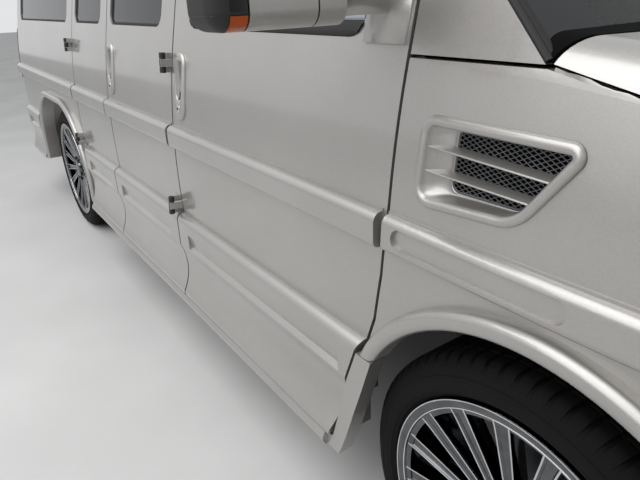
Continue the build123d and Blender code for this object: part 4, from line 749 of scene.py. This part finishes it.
class VAN_OT_vents(bpy.types.Operator):
    """Replaces both fender vents: rounded rim, scooped bowl, two fins, and expanded mesh over a near-black back
    that is painted shade
    """
    bl_idname = "van.vents"
    bl_label = "Fender vents"

    # The fender's side: the height where it is widest, how wide, and how it draws in over a height
    SKIN_Z, SKIN_Y, SKIN_DRAW, SKIN_RISE = 0.808, 1.0022, 0.05, 0.486
    # In millimetres: x from the front axle, z and corner radius
    OUTLINE = ((-249.0, 1179.0, 30.0), (-253.0, 1021.0, 38.0), (-34.0, 1036.0, 80.0), (64.0, 1177.0, 20.0))
    OPENING = ((-190.0, 1159.0, 12.0), (-190.0, 1052.0, 20.0), (-46.0, 1054.0, 30.0), (36.0, 1159.0, 12.0))
    # The rim: how far in from the outline, and how far out of the fender
    RIM = ((-1.5, -2.0), (-1.0, 1.0), (0.6, 3.4), (3.5, 5.6), (7.5, 6.4), (11.5, 5.8), (14.5, 3.8),
           (16.5, 1.0), (17.5, -2.5))
    # The bowl's depth, and where its rings lie between the rim and the opening
    DEEP = 21.0
    BOWL = (0.12, 0.25, 0.4, 0.55, 0.7, 0.85, 1.0)
    FLOOR = RIM[-1][1] - DEEP
    # The bowl's inner edge: how far in from the opening, and how far out of the bowl's floor
    LEDGE = ((1.0, 0.9), (2.2, 0.5), (3.0, -0.8), (3.2, -3.0))
    # Each fin's outer edge: x and z at its rear end, x and z at its front end
    FINS = (((-236.0, 1126.0), (5.0, 1116.0)), ((-238.0, 1085.0), (-20.0, 1078.0)))
    # A fin's section: height above its edge, and how far out of the fender
    FIN = ((-1.5, -3.4), (-0.8, -2.2), (0.3, -1.8), (1.4, -2.4), (2.2, -4.2), (6.0, -25.5), (3.0, -26.5),
           (-1.2, -6.0))
    FIN_STEPS = 12
    # The mesh: how far out of the fender, its cell and its wire; then its frame's section
    MESH_OUT, CELL_WIDE, CELL_HIGH, WIRE = -25.5, 15.0, 8.0, 1.5
    MESH_FRAME = ((3.4, 0.0), (3.9, 1.2), (5.2, 1.2), (5.8, 0.0), (4.6, -1.0))
    WIRE_STEPS = 100

    def on_fender(self, point, out, side):
        """A place on the fender's side from x and z in millimetres, standing out of it by out."""
        x, z = point[0] * MM, point[1] * MM
        rise = (z - self.SKIN_Z) / self.SKIN_RISE
        return Vector((AXLE_X + x, side * (self.SKIN_Y - self.SKIN_DRAW * rise * rise + out * MM), z))

    def add_wires(self, maker, clear, side):
        """The slanting wires of the expanded mesh, both ways, within an outline."""
        x0, x1 = min(p.x for p in clear), max(p.x for p in clear)
        z0, z1 = min(p.y for p in clear), max(p.y for p in clear)
        lean = self.CELL_WIDE / self.CELL_HIGH
        for slope in (1, -1):
            for i in range(int((x1 - x0 + (z1 - z0) * lean) / self.CELL_WIDE) + 1):
                run = []
                for step in range(self.WIRE_STEPS + 1):
                    z = z0 + (z1 - z0) * step / self.WIRE_STEPS
                    across = (z - z0) if slope > 0 else (z1 - z)
                    point = Vector((x0 - (z1 - z0) * lean + i * self.CELL_WIDE + across * lean, z))
                    if inside(point, clear):
                        run.append(self.on_fender(point, self.MESH_OUT, side))
                if len(run) > 3:
                    add_bar(maker, [run[0], run[len(run) // 2], run[-1]], self.WIRE * MM, self.WIRE * MM,
                            Vector((0, 1, 0)))

    def execute(self, context):
        outline, opening = rounded(self.OUTLINE), rounded(self.OPENING)
        for label, side in SIDES:
            def ring(points, out):
                return [self.on_fender(point, out, side) for point in points]

            housing = bmesh.new()
            rings = [ring(inset(outline, amount), out) for amount, out in self.RIM]
            edge, last = inset(outline, self.RIM[-1][0]), self.RIM[-1][1]
            rings += [ring([a.lerp(b, share) for a, b in zip(edge, opening)],
                           last - self.DEEP * (1 - (1 - share) ** 1.9)) for share in self.BOWL]
            rings += [ring(inset(opening, amount), self.FLOOR + out) for amount, out in self.LEDGE]
            add_rings(housing, rings)
            for rear, front in self.FINS:
                run = [Vector(rear).lerp(Vector(front), step / self.FIN_STEPS)
                       for step in range(self.FIN_STEPS + 1)]
                add_rings(housing, [[self.on_fender((at.x, at.y + rise), out, side) for rise, out in self.FIN]
                                    for at in run])
            piece = make_piece("vent_housing_" + label, housing, "body_paint", sharp=55)
            if label == "right":
                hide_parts("fender_vents")
            # A near-black back behind the mesh: painted shade in the vent's opening
            back = [ring(inset(opening, 3.0), self.FLOOR - deep) for deep in (2.0, 9.0)]
            ring_piece("vent_painted_shade_back_" + label, back, "black_plastic_and_painted_shade", ends=LAST_END)
            mesh = bmesh.new()
            border = [ring(inset(opening, amount), self.MESH_OUT + out) for amount, out in self.MESH_FRAME]
            add_rings(mesh, border + border[:1])
            self.add_wires(mesh, inset(opening, 4.0), side)
            make_piece("vent_mesh_" + label, mesh, "mesh_steel", sharp=60)
        return {"FINISHED"}


# Doors

def capsule(half_w, half_h, rise, steps=12):
    """An upright slot outline with round ends, as x and z in millimetres."""
    straight = half_h - half_w
    points = []
    for foot, first in ((straight, 0.0), (-straight, math.pi)):
        angles = [first + math.pi * i / steps for i in range(steps + 1)]
        points += [(half_w * math.cos(angle), rise + foot + half_w * math.sin(angle)) for angle in angles]
    return points


class VAN_OT_hardware(bpy.types.Operator):
    """Adds the door pulls' bezels, flaps and key locks, and the side hinges' black sleeves"""
    bl_idname = "van.hardware"
    bl_label = "Door hardware"

    # Pulls on the doors: node, x from the front axle in metres, side
    PULLS = (
        ("door_front_right", -1.335, -1), ("door_front_left", -1.335, 1), ("door_side_front", -2.105, -1))
    PULL_Z = 1.118
    PULL_HALF = 0.108
    # From the bezel's foot to the finger recess: half width, half height, shift up, and out of the skin
    BEZEL = (
        (39.5, 105.0, 0.0, -2.0), (39.5, 105.0, 0.0, 3.0), (38.6, 104.0, 0.0, 6.4), (36.2, 101.6, 0.0, 9.0),
        (32.5, 97.8, 0.0, 10.6), (27.0, 76.0, 13.0, 11.2), (22.0, 66.0, 20.0, 11.0), (19.6, 63.6, 21.5, 10.2),
        (18.4, 62.4, 22.0, 8.4), (18.0, 62.0, 22.0, 5.0))
    FLAP = ((8.5, 57.0, 20.0, 5.0), (8.5, 57.0, 20.0, 8.4), (7.6, 56.0, 20.0, 9.2), (4.0, 52.0, 20.0, 9.4))
    FLAP_SHIFT = -5.0
    # A near-black sheet laid in the finger recess as painted shade, in the same columns
    RECESS_SHADE = (19.0, 63.0, 22.0, 6.6)
    # The key lock: how far below the pull's middle; then its plate and its slot, a near-black disc painted as the
    # keyway's shade: how far out, radius, height
    LOCK_DOWN = -68.0
    LOCK = (9.8, 12.5 * MM, 3.0 * MM, 32, 0.6 * MM)
    SLOT_SHADE = (12.6, 4.2 * MM, 1.2 * MM, 16)
    # The side hinges' leaning axis: how far out at a height, and its lean
    HINGE_Y, HINGE_Z, HINGE_LEAN = 1.040, 0.680, 0.085
    KNUCKLES_Z = (0.705, 1.188)
    SLEEVE_R = 10.2 * MM
    # Ends of the knuckles along the axis: the door's two and the body's one between them
    MOVING = ((-32 * MM, -12 * MM), (12 * MM, 32 * MM))
    FIXED = ((-11.4 * MM, 11.4 * MM),)
    # A sleeve with domed ends: share of its length, share of its radius
    SLEEVE = ((0.0, 0.5), (0.02, 0.94), (0.06, 1.0), (0.94, 1.0), (0.98, 0.94), (1.0, 0.5))

    def add_pull(self, node, dx, side):
        """A pull's bezel, the recess with its flap and a near-black sheet in it as painted shade, and the key lock
        below.
        """
        x = AXLE_X + dx
        low, high = self.PULL_Z - self.PULL_HALF, self.PULL_Z + self.PULL_HALF
        at_low, at_high = (surface_y(node, x + 0.05, z, side) for z in (low, high))

        def place(px, pz, out):
            z = self.PULL_Z + pz * MM
            skin = at_low + (at_high - at_low) * (z - low) / (high - low)
            return Vector((x + px * MM, side * (skin + out * MM), z))

        def slots(rows, shift=0.0):
            return [[place(px + shift, pz, row[3]) for px, pz in capsule(*row[:3])] for row in rows]

        body = body_of_node(node)
        bezel, recess, lock, slot = (bmesh.new() for _ in range(4))
        add_rings(bezel, slots(self.BEZEL))
        add_rings(bezel, slots(self.FLAP, self.FLAP_SHIFT), ends=LAST_END)
        make_piece("pull_bezel_" + node, bezel, "body_paint", body, 50)
        add_rings(recess, slots((self.RECESS_SHADE,)), ends=LAST_END)
        make_piece("pull_recess_painted_shade_" + node, recess, "black_plastic_and_painted_shade", body)
        for maker, (out, *shape) in ((lock, self.LOCK), (slot, self.SLOT_SHADE)):
            add_disc(maker, place(0, self.LOCK_DOWN, out), Vector((0, side, 0)), *shape)
        make_piece("key_lock_" + node, lock, "chrome", body)
        make_piece("key_slot_painted_shade_" + node, slot, "black_plastic_and_painted_shade", body)

    def add_sleeve(self, maker, x, z, low, high):
        """A sleeve over one knuckle of a side hinge, from low to high along its leaning axis."""
        turn = math.atan(self.HINGE_LEAN)
        lean = Vector((0, math.sin(turn), math.cos(turn)))
        level = Vector((0, math.cos(turn), -math.sin(turn)))
        middle = Vector((x, -(self.HINGE_Y - self.HINGE_LEAN * (z - self.HINGE_Z)), z))
        add_rings(maker, [[middle + lean * (low + (high - low) * share)
                           + (Vector((a, 0, 0)) + level * b) * radius * self.SLEEVE_R for a, b in circle(20)]
                          for share, radius in self.SLEEVE], ends=BOTH_ENDS)

    def execute(self, context):
        for pull in self.PULLS:
            self.add_pull(*pull)
        for label in ("front", "rear"):
            body = "side_door_" + label
            x = JOINTS[body + "_swing"]["pos_m"][0]
            for kind, spans, rides_on in (("caps", self.MOVING, body), ("sleeves", self.FIXED, "body")):
                maker = bmesh.new()
                for z in self.KNUCKLES_Z:
                    for low, high in spans:
                        self.add_sleeve(maker, x, z, low, high)
                make_piece("hinge_%s_%s" % (kind, label), maker, "black_plastic", rides_on)
        return {"FINISHED"}


class VAN_OT_belts(bpy.types.Operator):
    """Adds the wide rubber and the bright strip along the foot of both front door windows"""
    bl_idname = "van.belts"
    bl_label = "Belt strips"

    # Each strip: name, finish, and its section as height above the opening's foot and out of the glass
    STRIPS = (
        ("rubber", "seal", (
            (0.0, 1.0), (1.0, 15.5), (6.0, 17.5), (14.0, 16.0), (26.0, 13.0), (30.0, 11.0), (31.0, 1.0))),
        ("bright", "trim_steel", (
            (30.0, 1.0), (30.6, 10.0), (33.0, 11.4), (40.0, 10.0), (43.0, 8.0), (43.6, 1.0))),
    )
    STEPS = 60
    CORNER_R = 0.045
    # How far the strips stay from the pane's ends, and the least distance at which the glass is measured
    END_GAP, MEASURE_X = 0.003, 0.02
    # The glass leans inwards by this much of its height; it is measured this far above its foot
    GLASS_LEAN = 0.12
    MEASURE_Z = 0.05

    def stations(self, name, side):
        """Along a window's foot: x, how far the corner lifts the strip, and how far out the glass stands."""
        low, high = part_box(name)
        for i in range(self.STEPS + 1):
            x = low.x + self.END_GAP + (high.x - low.x - 2 * self.END_GAP) * i / self.STEPS
            near = min(x - low.x, high.x - x) + 0.002
            short = max(0.0, self.CORNER_R - near)
            lift = self.CORNER_R - math.sqrt(max(0.0, self.CORNER_R ** 2 - short ** 2))
            measured = min(max(x, low.x + self.MEASURE_X), high.x - self.MEASURE_X)
            yield x, low.z, lift, surface_y(name, measured, low.z + self.MEASURE_Z, side)

    def execute(self, context):
        for label, side in SIDES:
            name = "glass_front_" + label
            for kind, finish, section in self.STRIPS:
                top = section[-1][0] * MM - 0.0004
                rings = []
                for x, foot, lift, glass in self.stations(name, side):
                    ring = []
                    for height, out in section:
                        rise = max(height * MM, min(lift, top))
                        reach = glass + self.GLASS_LEAN * (self.MEASURE_Z - rise) + out * MM
                        ring.append(Vector((x, side * reach, foot + rise)))
                    rings.append(ring)
                strip = "belt_%s_%s" % (kind, label)
                ring_piece(strip, rings, finish, body_of_node(name), 50, ends=BOTH_ENDS)
        return {"FINISHED"}


# Windscreen border and hood flanges

class VAN_OT_pillars(bpy.types.Operator):
    """Covers both windscreen pillars' fronts with the black border and its rubber"""
    bl_idname = "van.pillars"
    bl_label = "Windscreen border"

    # The way that the pillars' fronts face on the left, how near to it a face must look, and where they begin
    FACING = (0.63, 0.28, 0.73)
    NEAR = 0.97
    LOW_Z = 1.2
    STEPS, END_GAP = 40, 0.002
    # The rubber's section: inwards from the pillar's outer edge, and up from the border
    SECTION = (
        (0.5, -0.5), (0.5, 2.5), (3.0, 5.0), (9.0, 6.0), (11.0, 4.2), (13.5, 4.2), (15.5, 5.6), (21.0, 4.6),
        (26.0, 1.8), (27.0, -0.5))

    def pillar_front(self, node, out):
        """The faces of a pillar's front, lifted 1 mm off the node."""
        maker = node_mesh(node)
        dropped = [face for face in maker.faces
                   if face.normal.dot(out) < self.NEAR or face.calc_center_median().z <= self.LOW_Z]
        bmesh.ops.delete(maker, geom=dropped, context="FACES")
        for vertex in maker.verts:
            vertex.co += out * MM
        if not maker.faces:
            raise RuntimeError("no pillar front on " + node)
        return maker

    def execute(self, context):
        for label, side in SIDES:
            out = Vector((self.FACING[0], side * self.FACING[1], self.FACING[2])).normalized()
            border = self.pillar_front("side_" + label, out)
            heights = [vertex.co.z for vertex in border.verts]
            foot, top = min(heights), max(heights)
            run = []
            for step in range(self.STEPS + 1):
                level = foot + self.END_GAP + (top - foot - 2 * self.END_GAP) * step / self.STEPS
                spots = crossings(border, 2, level)
                if spots:
                    run.append(max(spots, key=lambda spot: abs(spot.y)))
            make_piece("pillar_border_" + label, border, "frit", sharp=30)
            rings = []
            for i, point in enumerate(run):
                ahead = (run[min(i + 1, len(run) - 1)] - run[max(i - 1, 0)]).normalized()
                inward = ahead.cross(out).normalized()
                if inward.y * side > 0:
                    inward = -inward
                rings.append([point + inward * (a * MM) + out * (b * MM) for a, b in self.SECTION])
            ring_piece("pillar_rubber_" + label, rings, "seal", sharp=50, ends=BOTH_ENDS)
        return {"FINISHED"}


class VAN_OT_flanges(bpy.types.Operator):
    """Fills most of the hood's side gaps with the fenders' painted flanges"""
    bl_idname = "van.flanges"
    bl_label = "Hood flanges"

    # Along the van, in metres from the front axle
    START_X, RUN_X, STEPS = -0.03, 0.80, 45
    # How far the fender's lip may be from the hood's edge, and how far below it
    GAP = (0.003, 0.022)
    BELOW = 0.018
    # How much of the gap stays open, and the flange's depth
    OPEN = 0.0034
    DEEP = 0.010

    def execute(self, context):
        hood = node_mesh("hood")
        down = Vector((0, 0, -1))
        for label, side in SIDES:
            fender = node_mesh("fender_" + label)
            rings = []
            for step in range(self.STEPS + 1):
                x = AXLE_X + self.START_X + self.RUN_X * step / self.STEPS
                lid = [spot for spot in crossings(hood, 0, x) if spot.y * side > 0]
                if not lid:
                    continue
                reach = max(spot.y * side for spot in lid)
                edge = max((spot for spot in lid if spot.y * side > reach - 0.0015), key=lambda spot: spot.z)
                near = [spot for spot in crossings(fender, 0, x)
                        if self.GAP[0] < (spot - edge).length < self.GAP[1] and spot.z > edge.z - self.BELOW]
                if not near:
                    continue
                lip = min(near, key=lambda spot: (spot - edge).length)
                wide = (edge - lip).length
                across = (edge - lip).normalized()
                rings.append([lip + across * a + down * b for a, b in (
                    (-0.0005, 0.0006), (wide - self.OPEN - 0.0008, 0.0008), (wide - self.OPEN, 0.0022),
                    (wide - self.OPEN, self.DEEP), (-0.0005, self.DEEP))])
            fender.free()
            if len(rings) < 10:
                raise RuntimeError("no gap found beside the hood on the " + label)
            ring_piece("hood_flange_" + label, rings, "body_paint", sharp=40, ends=BOTH_ENDS)
        hood.free()
        return {"FINISHED"}


# Mirrors and lamps

class VAN_OT_mirrors(bpy.types.Operator):
    """Replaces both mirrors: arm and shell with their joint line, black outer end, amber lamp and glass"""
    bl_idname = "van.mirrors"
    bl_label = "Mirrors"

    OUT, UP = 1, 2
    # Each piece: name, finish, and the planes that bound it: axis, place, and 1 or -1 for the side cut away
    PIECES = (
        ("foot", "body_paint", ((OUT, 1.0605, 1),)),
        ("arm", "body_paint", ((OUT, 1.115, 1), (OUT, 1.0605, -1), (UP, 1.3725, 1))),
        ("shell", "body_paint", ((OUT, 1.2395, 1), (OUT, 1.0635, -1), (UP, 1.3755, -1))),
        ("chin", "body_paint", ((OUT, 1.2395, 1), (OUT, 1.118, -1), (UP, 1.3755, 1))),
        ("end", "black_plastic", ((OUT, 1.2425, -1), (UP, 1.3465, -1))),
        ("tip", "black_plastic", ((OUT, 1.2725, -1), (UP, 1.3465, 1))),
        ("lamp", "amber_lens", ((OUT, 1.2425, -1), (OUT, 1.2715, 1), (UP, 1.3455, 1))),
    )
    # The dark core fills the joint lines from this far out, and lies this far below the shell
    CORE_Y, CORE_DEEP = 1.05, 2.5 * MM
    # The glass: its x from the front axle, its middle, its half sizes, and its rings as inset and depth
    GLASS_X, GLASS_Y, GLASS_Z = -0.4545, 1.181, 1.446
    GLASS_HALF = (0.096, 0.098)
    GLASS_RINGS = ((0.0, 0.0), (0.0, 0.003), (0.006, 0.0045))
    GLASS_CORNER = 0.35

    def cut_node(self, node, planes, side, shrink=0.0):
        """A node's mesh cut by planes and closed again."""
        maker = node_mesh(node)
        if shrink:
            maker.normal_update()
            for vertex in maker.verts:
                vertex.co -= vertex.normal * shrink
        for axis, place, away in planes:
            way = Vector((0, 0, 0))
            way[axis] = side if axis == self.OUT else 1
            bmesh.ops.bisect_plane(maker, geom=[*maker.verts, *maker.edges, *maker.faces], dist=1e-6,
                                   plane_co=way * place, plane_no=way * away, clear_outer=True)
            open_edges = [edge for edge in maker.edges if edge.is_boundary]
            if open_edges:
                bmesh.ops.holes_fill(maker, edges=open_edges, sides=0)
        return maker

    def execute(self, context):
        for label, side in SIDES:
            node = "mirror_" + label
            body = body_of_node(node)
            for kind, finish, planes in self.PIECES:
                maker = self.cut_node(node, planes, side)
                piece = make_piece("mirror_%s_%s" % (kind, label), maker, finish, body, 40)
                if kind == "foot":
                    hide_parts(node)
            core = self.cut_node(node, ((self.OUT, self.CORE_Y, -1),), side, self.CORE_DEEP)
            make_piece("mirror_core_" + label, core, "black_plastic_and_painted_shade", body)
            middle = Vector((AXLE_X + self.GLASS_X, side * self.GLASS_Y, self.GLASS_Z))
            rings = []
            for inward, depth in self.GLASS_RINGS:
                outline = squarish(48, *(half - inward for half in self.GLASS_HALF), self.GLASS_CORNER)
                rings.append([middle + Vector((-depth, across, up)) for across, up in outline])
            ring_piece("mirror_glass_" + label, rings, "chrome", body, 50, ends=LAST_END)
        return {"FINISHED"}


class VAN_OT_lamps(bpy.types.Operator):
    """Adds the headlamps' chrome reflector bowls and their bulbs behind the lenses"""
    bl_idname = "van.lamps"
    bl_label = "Lamps"

    # The bowl: margin inside the lens's outline, and how far behind its rearmost point, in millimetres
    BOWL = ((7.0, 1.5), (5.0, 1.5), (5.0, 4.0), (9.0, 10.0), (17.0, 24.0), (30.0, 36.0), (46.0, 43.0),
            (60.0, 46.0))
    # The bulb: radius, and how far behind the same point
    BULB = ((8.0, 46.0), (8.0, 34.0), (6.5, 31.0), (6.5, 14.0), (4.0, 10.0), (0.5, 9.0))
    CORNER = 0.4

    def execute(self, context):
        lens = node_mesh("headlamps")
        for label, side in SIDES:
            spots = [vertex.co for vertex in lens.verts if vertex.co.y * side > 0]
            low, high = (Vector([pick(spot[axis] for spot in spots) for axis in range(3)])
                         for pick in (min, max))
            middle = Vector((low.x, (low.y + high.y) / 2, (low.z + high.z) / 2))
            half = (high - low) / 2

            def row(outline, depth):
                return [middle + Vector((-depth * MM, across, up)) for across, up in outline]

            bowl = [row(squarish(48, half.y - margin * MM, half.z - margin * MM, self.CORNER), depth)
                    for margin, depth in self.BOWL]
            ring_piece("lamp_bowl_" + label, bowl, "chrome", sharp=50, ends=LAST_END)
            bulb = [row([(radius * MM * a, radius * MM * b) for a, b in circle(20)], depth)
                    for radius, depth in self.BULB]
            ring_piece("lamp_bulb_" + label, bulb, "lamp_lens", sharp=50, ends=LAST_END)
        lens.free()
        return {"FINISHED"}


# Seats

class VAN_OT_seats(bpy.types.Operator):
    """Replaces the seats: plinth, crowned cushion and padded back with sewn channels"""
    bl_idname = "van.seats"
    bl_label = "Seats"

    # x of each seat's front edge from the front axle, middle in Y, and width, in metres
    SEATS = (
        (-0.880, -0.430, 0.500), (-0.880, 0.430, 0.500), (-1.880, -0.430, 0.500), (-1.880, 0.430, 0.500),
        (-2.930, 0.0, 1.300))
    BENCH = 1.0
    # Each pad: name, middle behind the front edge, its height, length, thickness, turn and sewn channels
    PADS = (
        ("cushion", -0.24, 0.985, 0.40, 0.13, 0.035, 4),
        ("back", -0.565, 1.315, 0.52, 0.105, 1.31 - math.pi, 5))
    CROWN = 0.4
    PULL = 0.05
    GRID = (28, 22)
    # A channel's half width as a share of the spacing, and its depth as a share of the pad's half thickness
    CHANNEL_HALF = 0.09
    CHANNEL_DEEP = 0.22
    # The plinth's rings: height, front and rear x from the seat's front edge
    PLINTH = ((0.690, -0.08, -0.54), (0.80, -0.06, -0.55), (0.905, -0.05, -0.575))

    def pad_point(self, u, v, half, channels, top):
        """A pad's point over its plan from -1 to 1, on its crowned top or its flat underside."""
        across = half.x * u * (1 - self.PULL * (1 - v * v) * abs(u) ** 6)
        along = half.y * v * (1 - self.PULL * (1 - u * u) * abs(v) ** 6)
        if not top:
            return Vector((across, along, -half.z))
        phase = (u + 1) / 2 * channels
        near = min(phase - math.floor(phase), math.ceil(phase) - phase)
        seam = math.exp(-(near / self.CHANNEL_HALF) ** 2) * self.CHANNEL_DEEP * (1 - abs(v) ** 8)
        bulge = (1 - u ** 4) * (1 - v ** 4)
        return Vector((across, along, half.z * (1 - self.CROWN + self.CROWN * bulge) - seam * half.z))

    def pad(self, middle, size, turn, channels):
        """A crowned pad whose sides pull in between its corners, with sewn channels across its length."""
        maker = bmesh.new()
        half = Vector(size) / 2
        matrix = Matrix.Translation(middle) @ Matrix.Rotation(turn, 4, "Y")
        count_u, count_v = self.GRID
        # Grid values crowd towards the edges, so that the rounded edge is smooth
        us, vs = ([math.sin((-1 + 2 * i / count) * math.pi / 2) for i in range(count + 1)]
                  for count in self.GRID)
        top, low = ([[maker.verts.new(matrix @ self.pad_point(u, v, half, channels, upper)) for v in vs]
                     for u in us] for upper in (True, False))
        for i in range(count_u):
            for j in range(count_v):
                maker.faces.new((top[i][j], top[i + 1][j], top[i + 1][j + 1], top[i][j + 1]))
                maker.faces.new((low[i][j + 1], low[i + 1][j + 1], low[i + 1][j], low[i][j]))
        edge = ([(i, 0) for i in range(count_u)] + [(count_u, j) for j in range(count_v)]
                + [(i, count_v) for i in range(count_u, 0, -1)] + [(0, j) for j in range(count_v, 0, -1)])
        for (a, b), (c, d) in zip(edge, edge[1:] + edge[:1]):
            maker.faces.new((top[a][b], low[a][b], low[c][d], top[c][d]))
        return maker

    def execute(self, context):
        for number, (x, y, width) in enumerate(self.SEATS, 1):
            front, wide = AXLE_X + x, width - 0.02
            bench = width >= self.BENCH
            shifts = (-width / 3, 0.0, width / 3) if bench else (0.0,)
            share = wide / 3 - 0.004 if bench else wide
            for spot, shift in zip("abc", shifts):
                for kind, dx, z, length, thick, turn, channels in self.PADS:
                    maker = self.pad((front + dx, y + shift, z), (length, share, thick), turn, channels)
                    pad = make_piece("seat_%s_%d%s" % (kind, number, spot), maker, "seat_fabric", sharp=60)
                    smooth = pad.modifiers.new("rounded", "SUBSURF")
                    smooth.levels = smooth.render_levels = 1
            plinth = bmesh.new()
            half = wide / 2 - 0.012
            rings = []
            for z, front_x, rear_x in self.PLINTH:
                corners = ((front_x, -half), (front_x, half), (rear_x, half), (rear_x, -half))
                rings.append([Vector((front + px, y + py, z)) for px, py in corners])
            add_rings(plinth, rings, ends=BOTH_ENDS)
            bmesh.ops.bevel(plinth, geom=list(plinth.edges), offset=0.008, segments=2, affect="EDGES")
            base = make_piece("seat_plinth_%d" % number, plinth, "black_plastic")
            if number == 1:
                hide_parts("seats")
        return {"FINISHED"}


OPERATORS = (
    VAN_OT_stage, VAN_OT_finishes, VAN_OT_wheels, VAN_OT_tyres, VAN_OT_seals, VAN_OT_vents, VAN_OT_hardware,
    VAN_OT_belts, VAN_OT_pillars, VAN_OT_flanges, VAN_OT_mirrors, VAN_OT_lamps, VAN_OT_seats,
)


class VAN_PT_looks(bpy.types.Panel):
    """The van's looks in the 3D view's sidebar"""
    bl_idname = "VAN_PT_looks"
    bl_label = "Van looks"
    bl_space_type = "VIEW_3D"
    bl_region_type = "UI"
    bl_category = "Van"

    def draw(self, context):
        for name in VanLooks.__annotations__:
            self.layout.prop(context.scene.van_looks, name)
        for operator in OPERATORS:
            self.layout.operator(operator.bl_idname)


CLASSES = (VanLooks, *OPERATORS, VAN_PT_looks)


def register():
    """Registers the classes and puts the looks on the scene."""
    for made in CLASSES:
        bpy.utils.register_class(made)
    bpy.types.Scene.van_looks = bpy.props.PointerProperty(type=VanLooks)


def unregister():
    """Takes the looks and the classes away again."""
    del bpy.types.Scene.van_looks
    for made in reversed(CLASSES):
        bpy.utils.unregister_class(made)


def main():
    register()
    for operator in OPERATORS:
        group, name = operator.bl_idname.split(".")
        getattr(getattr(bpy.ops, group), name)()


if __name__ == "__main__":
    main()
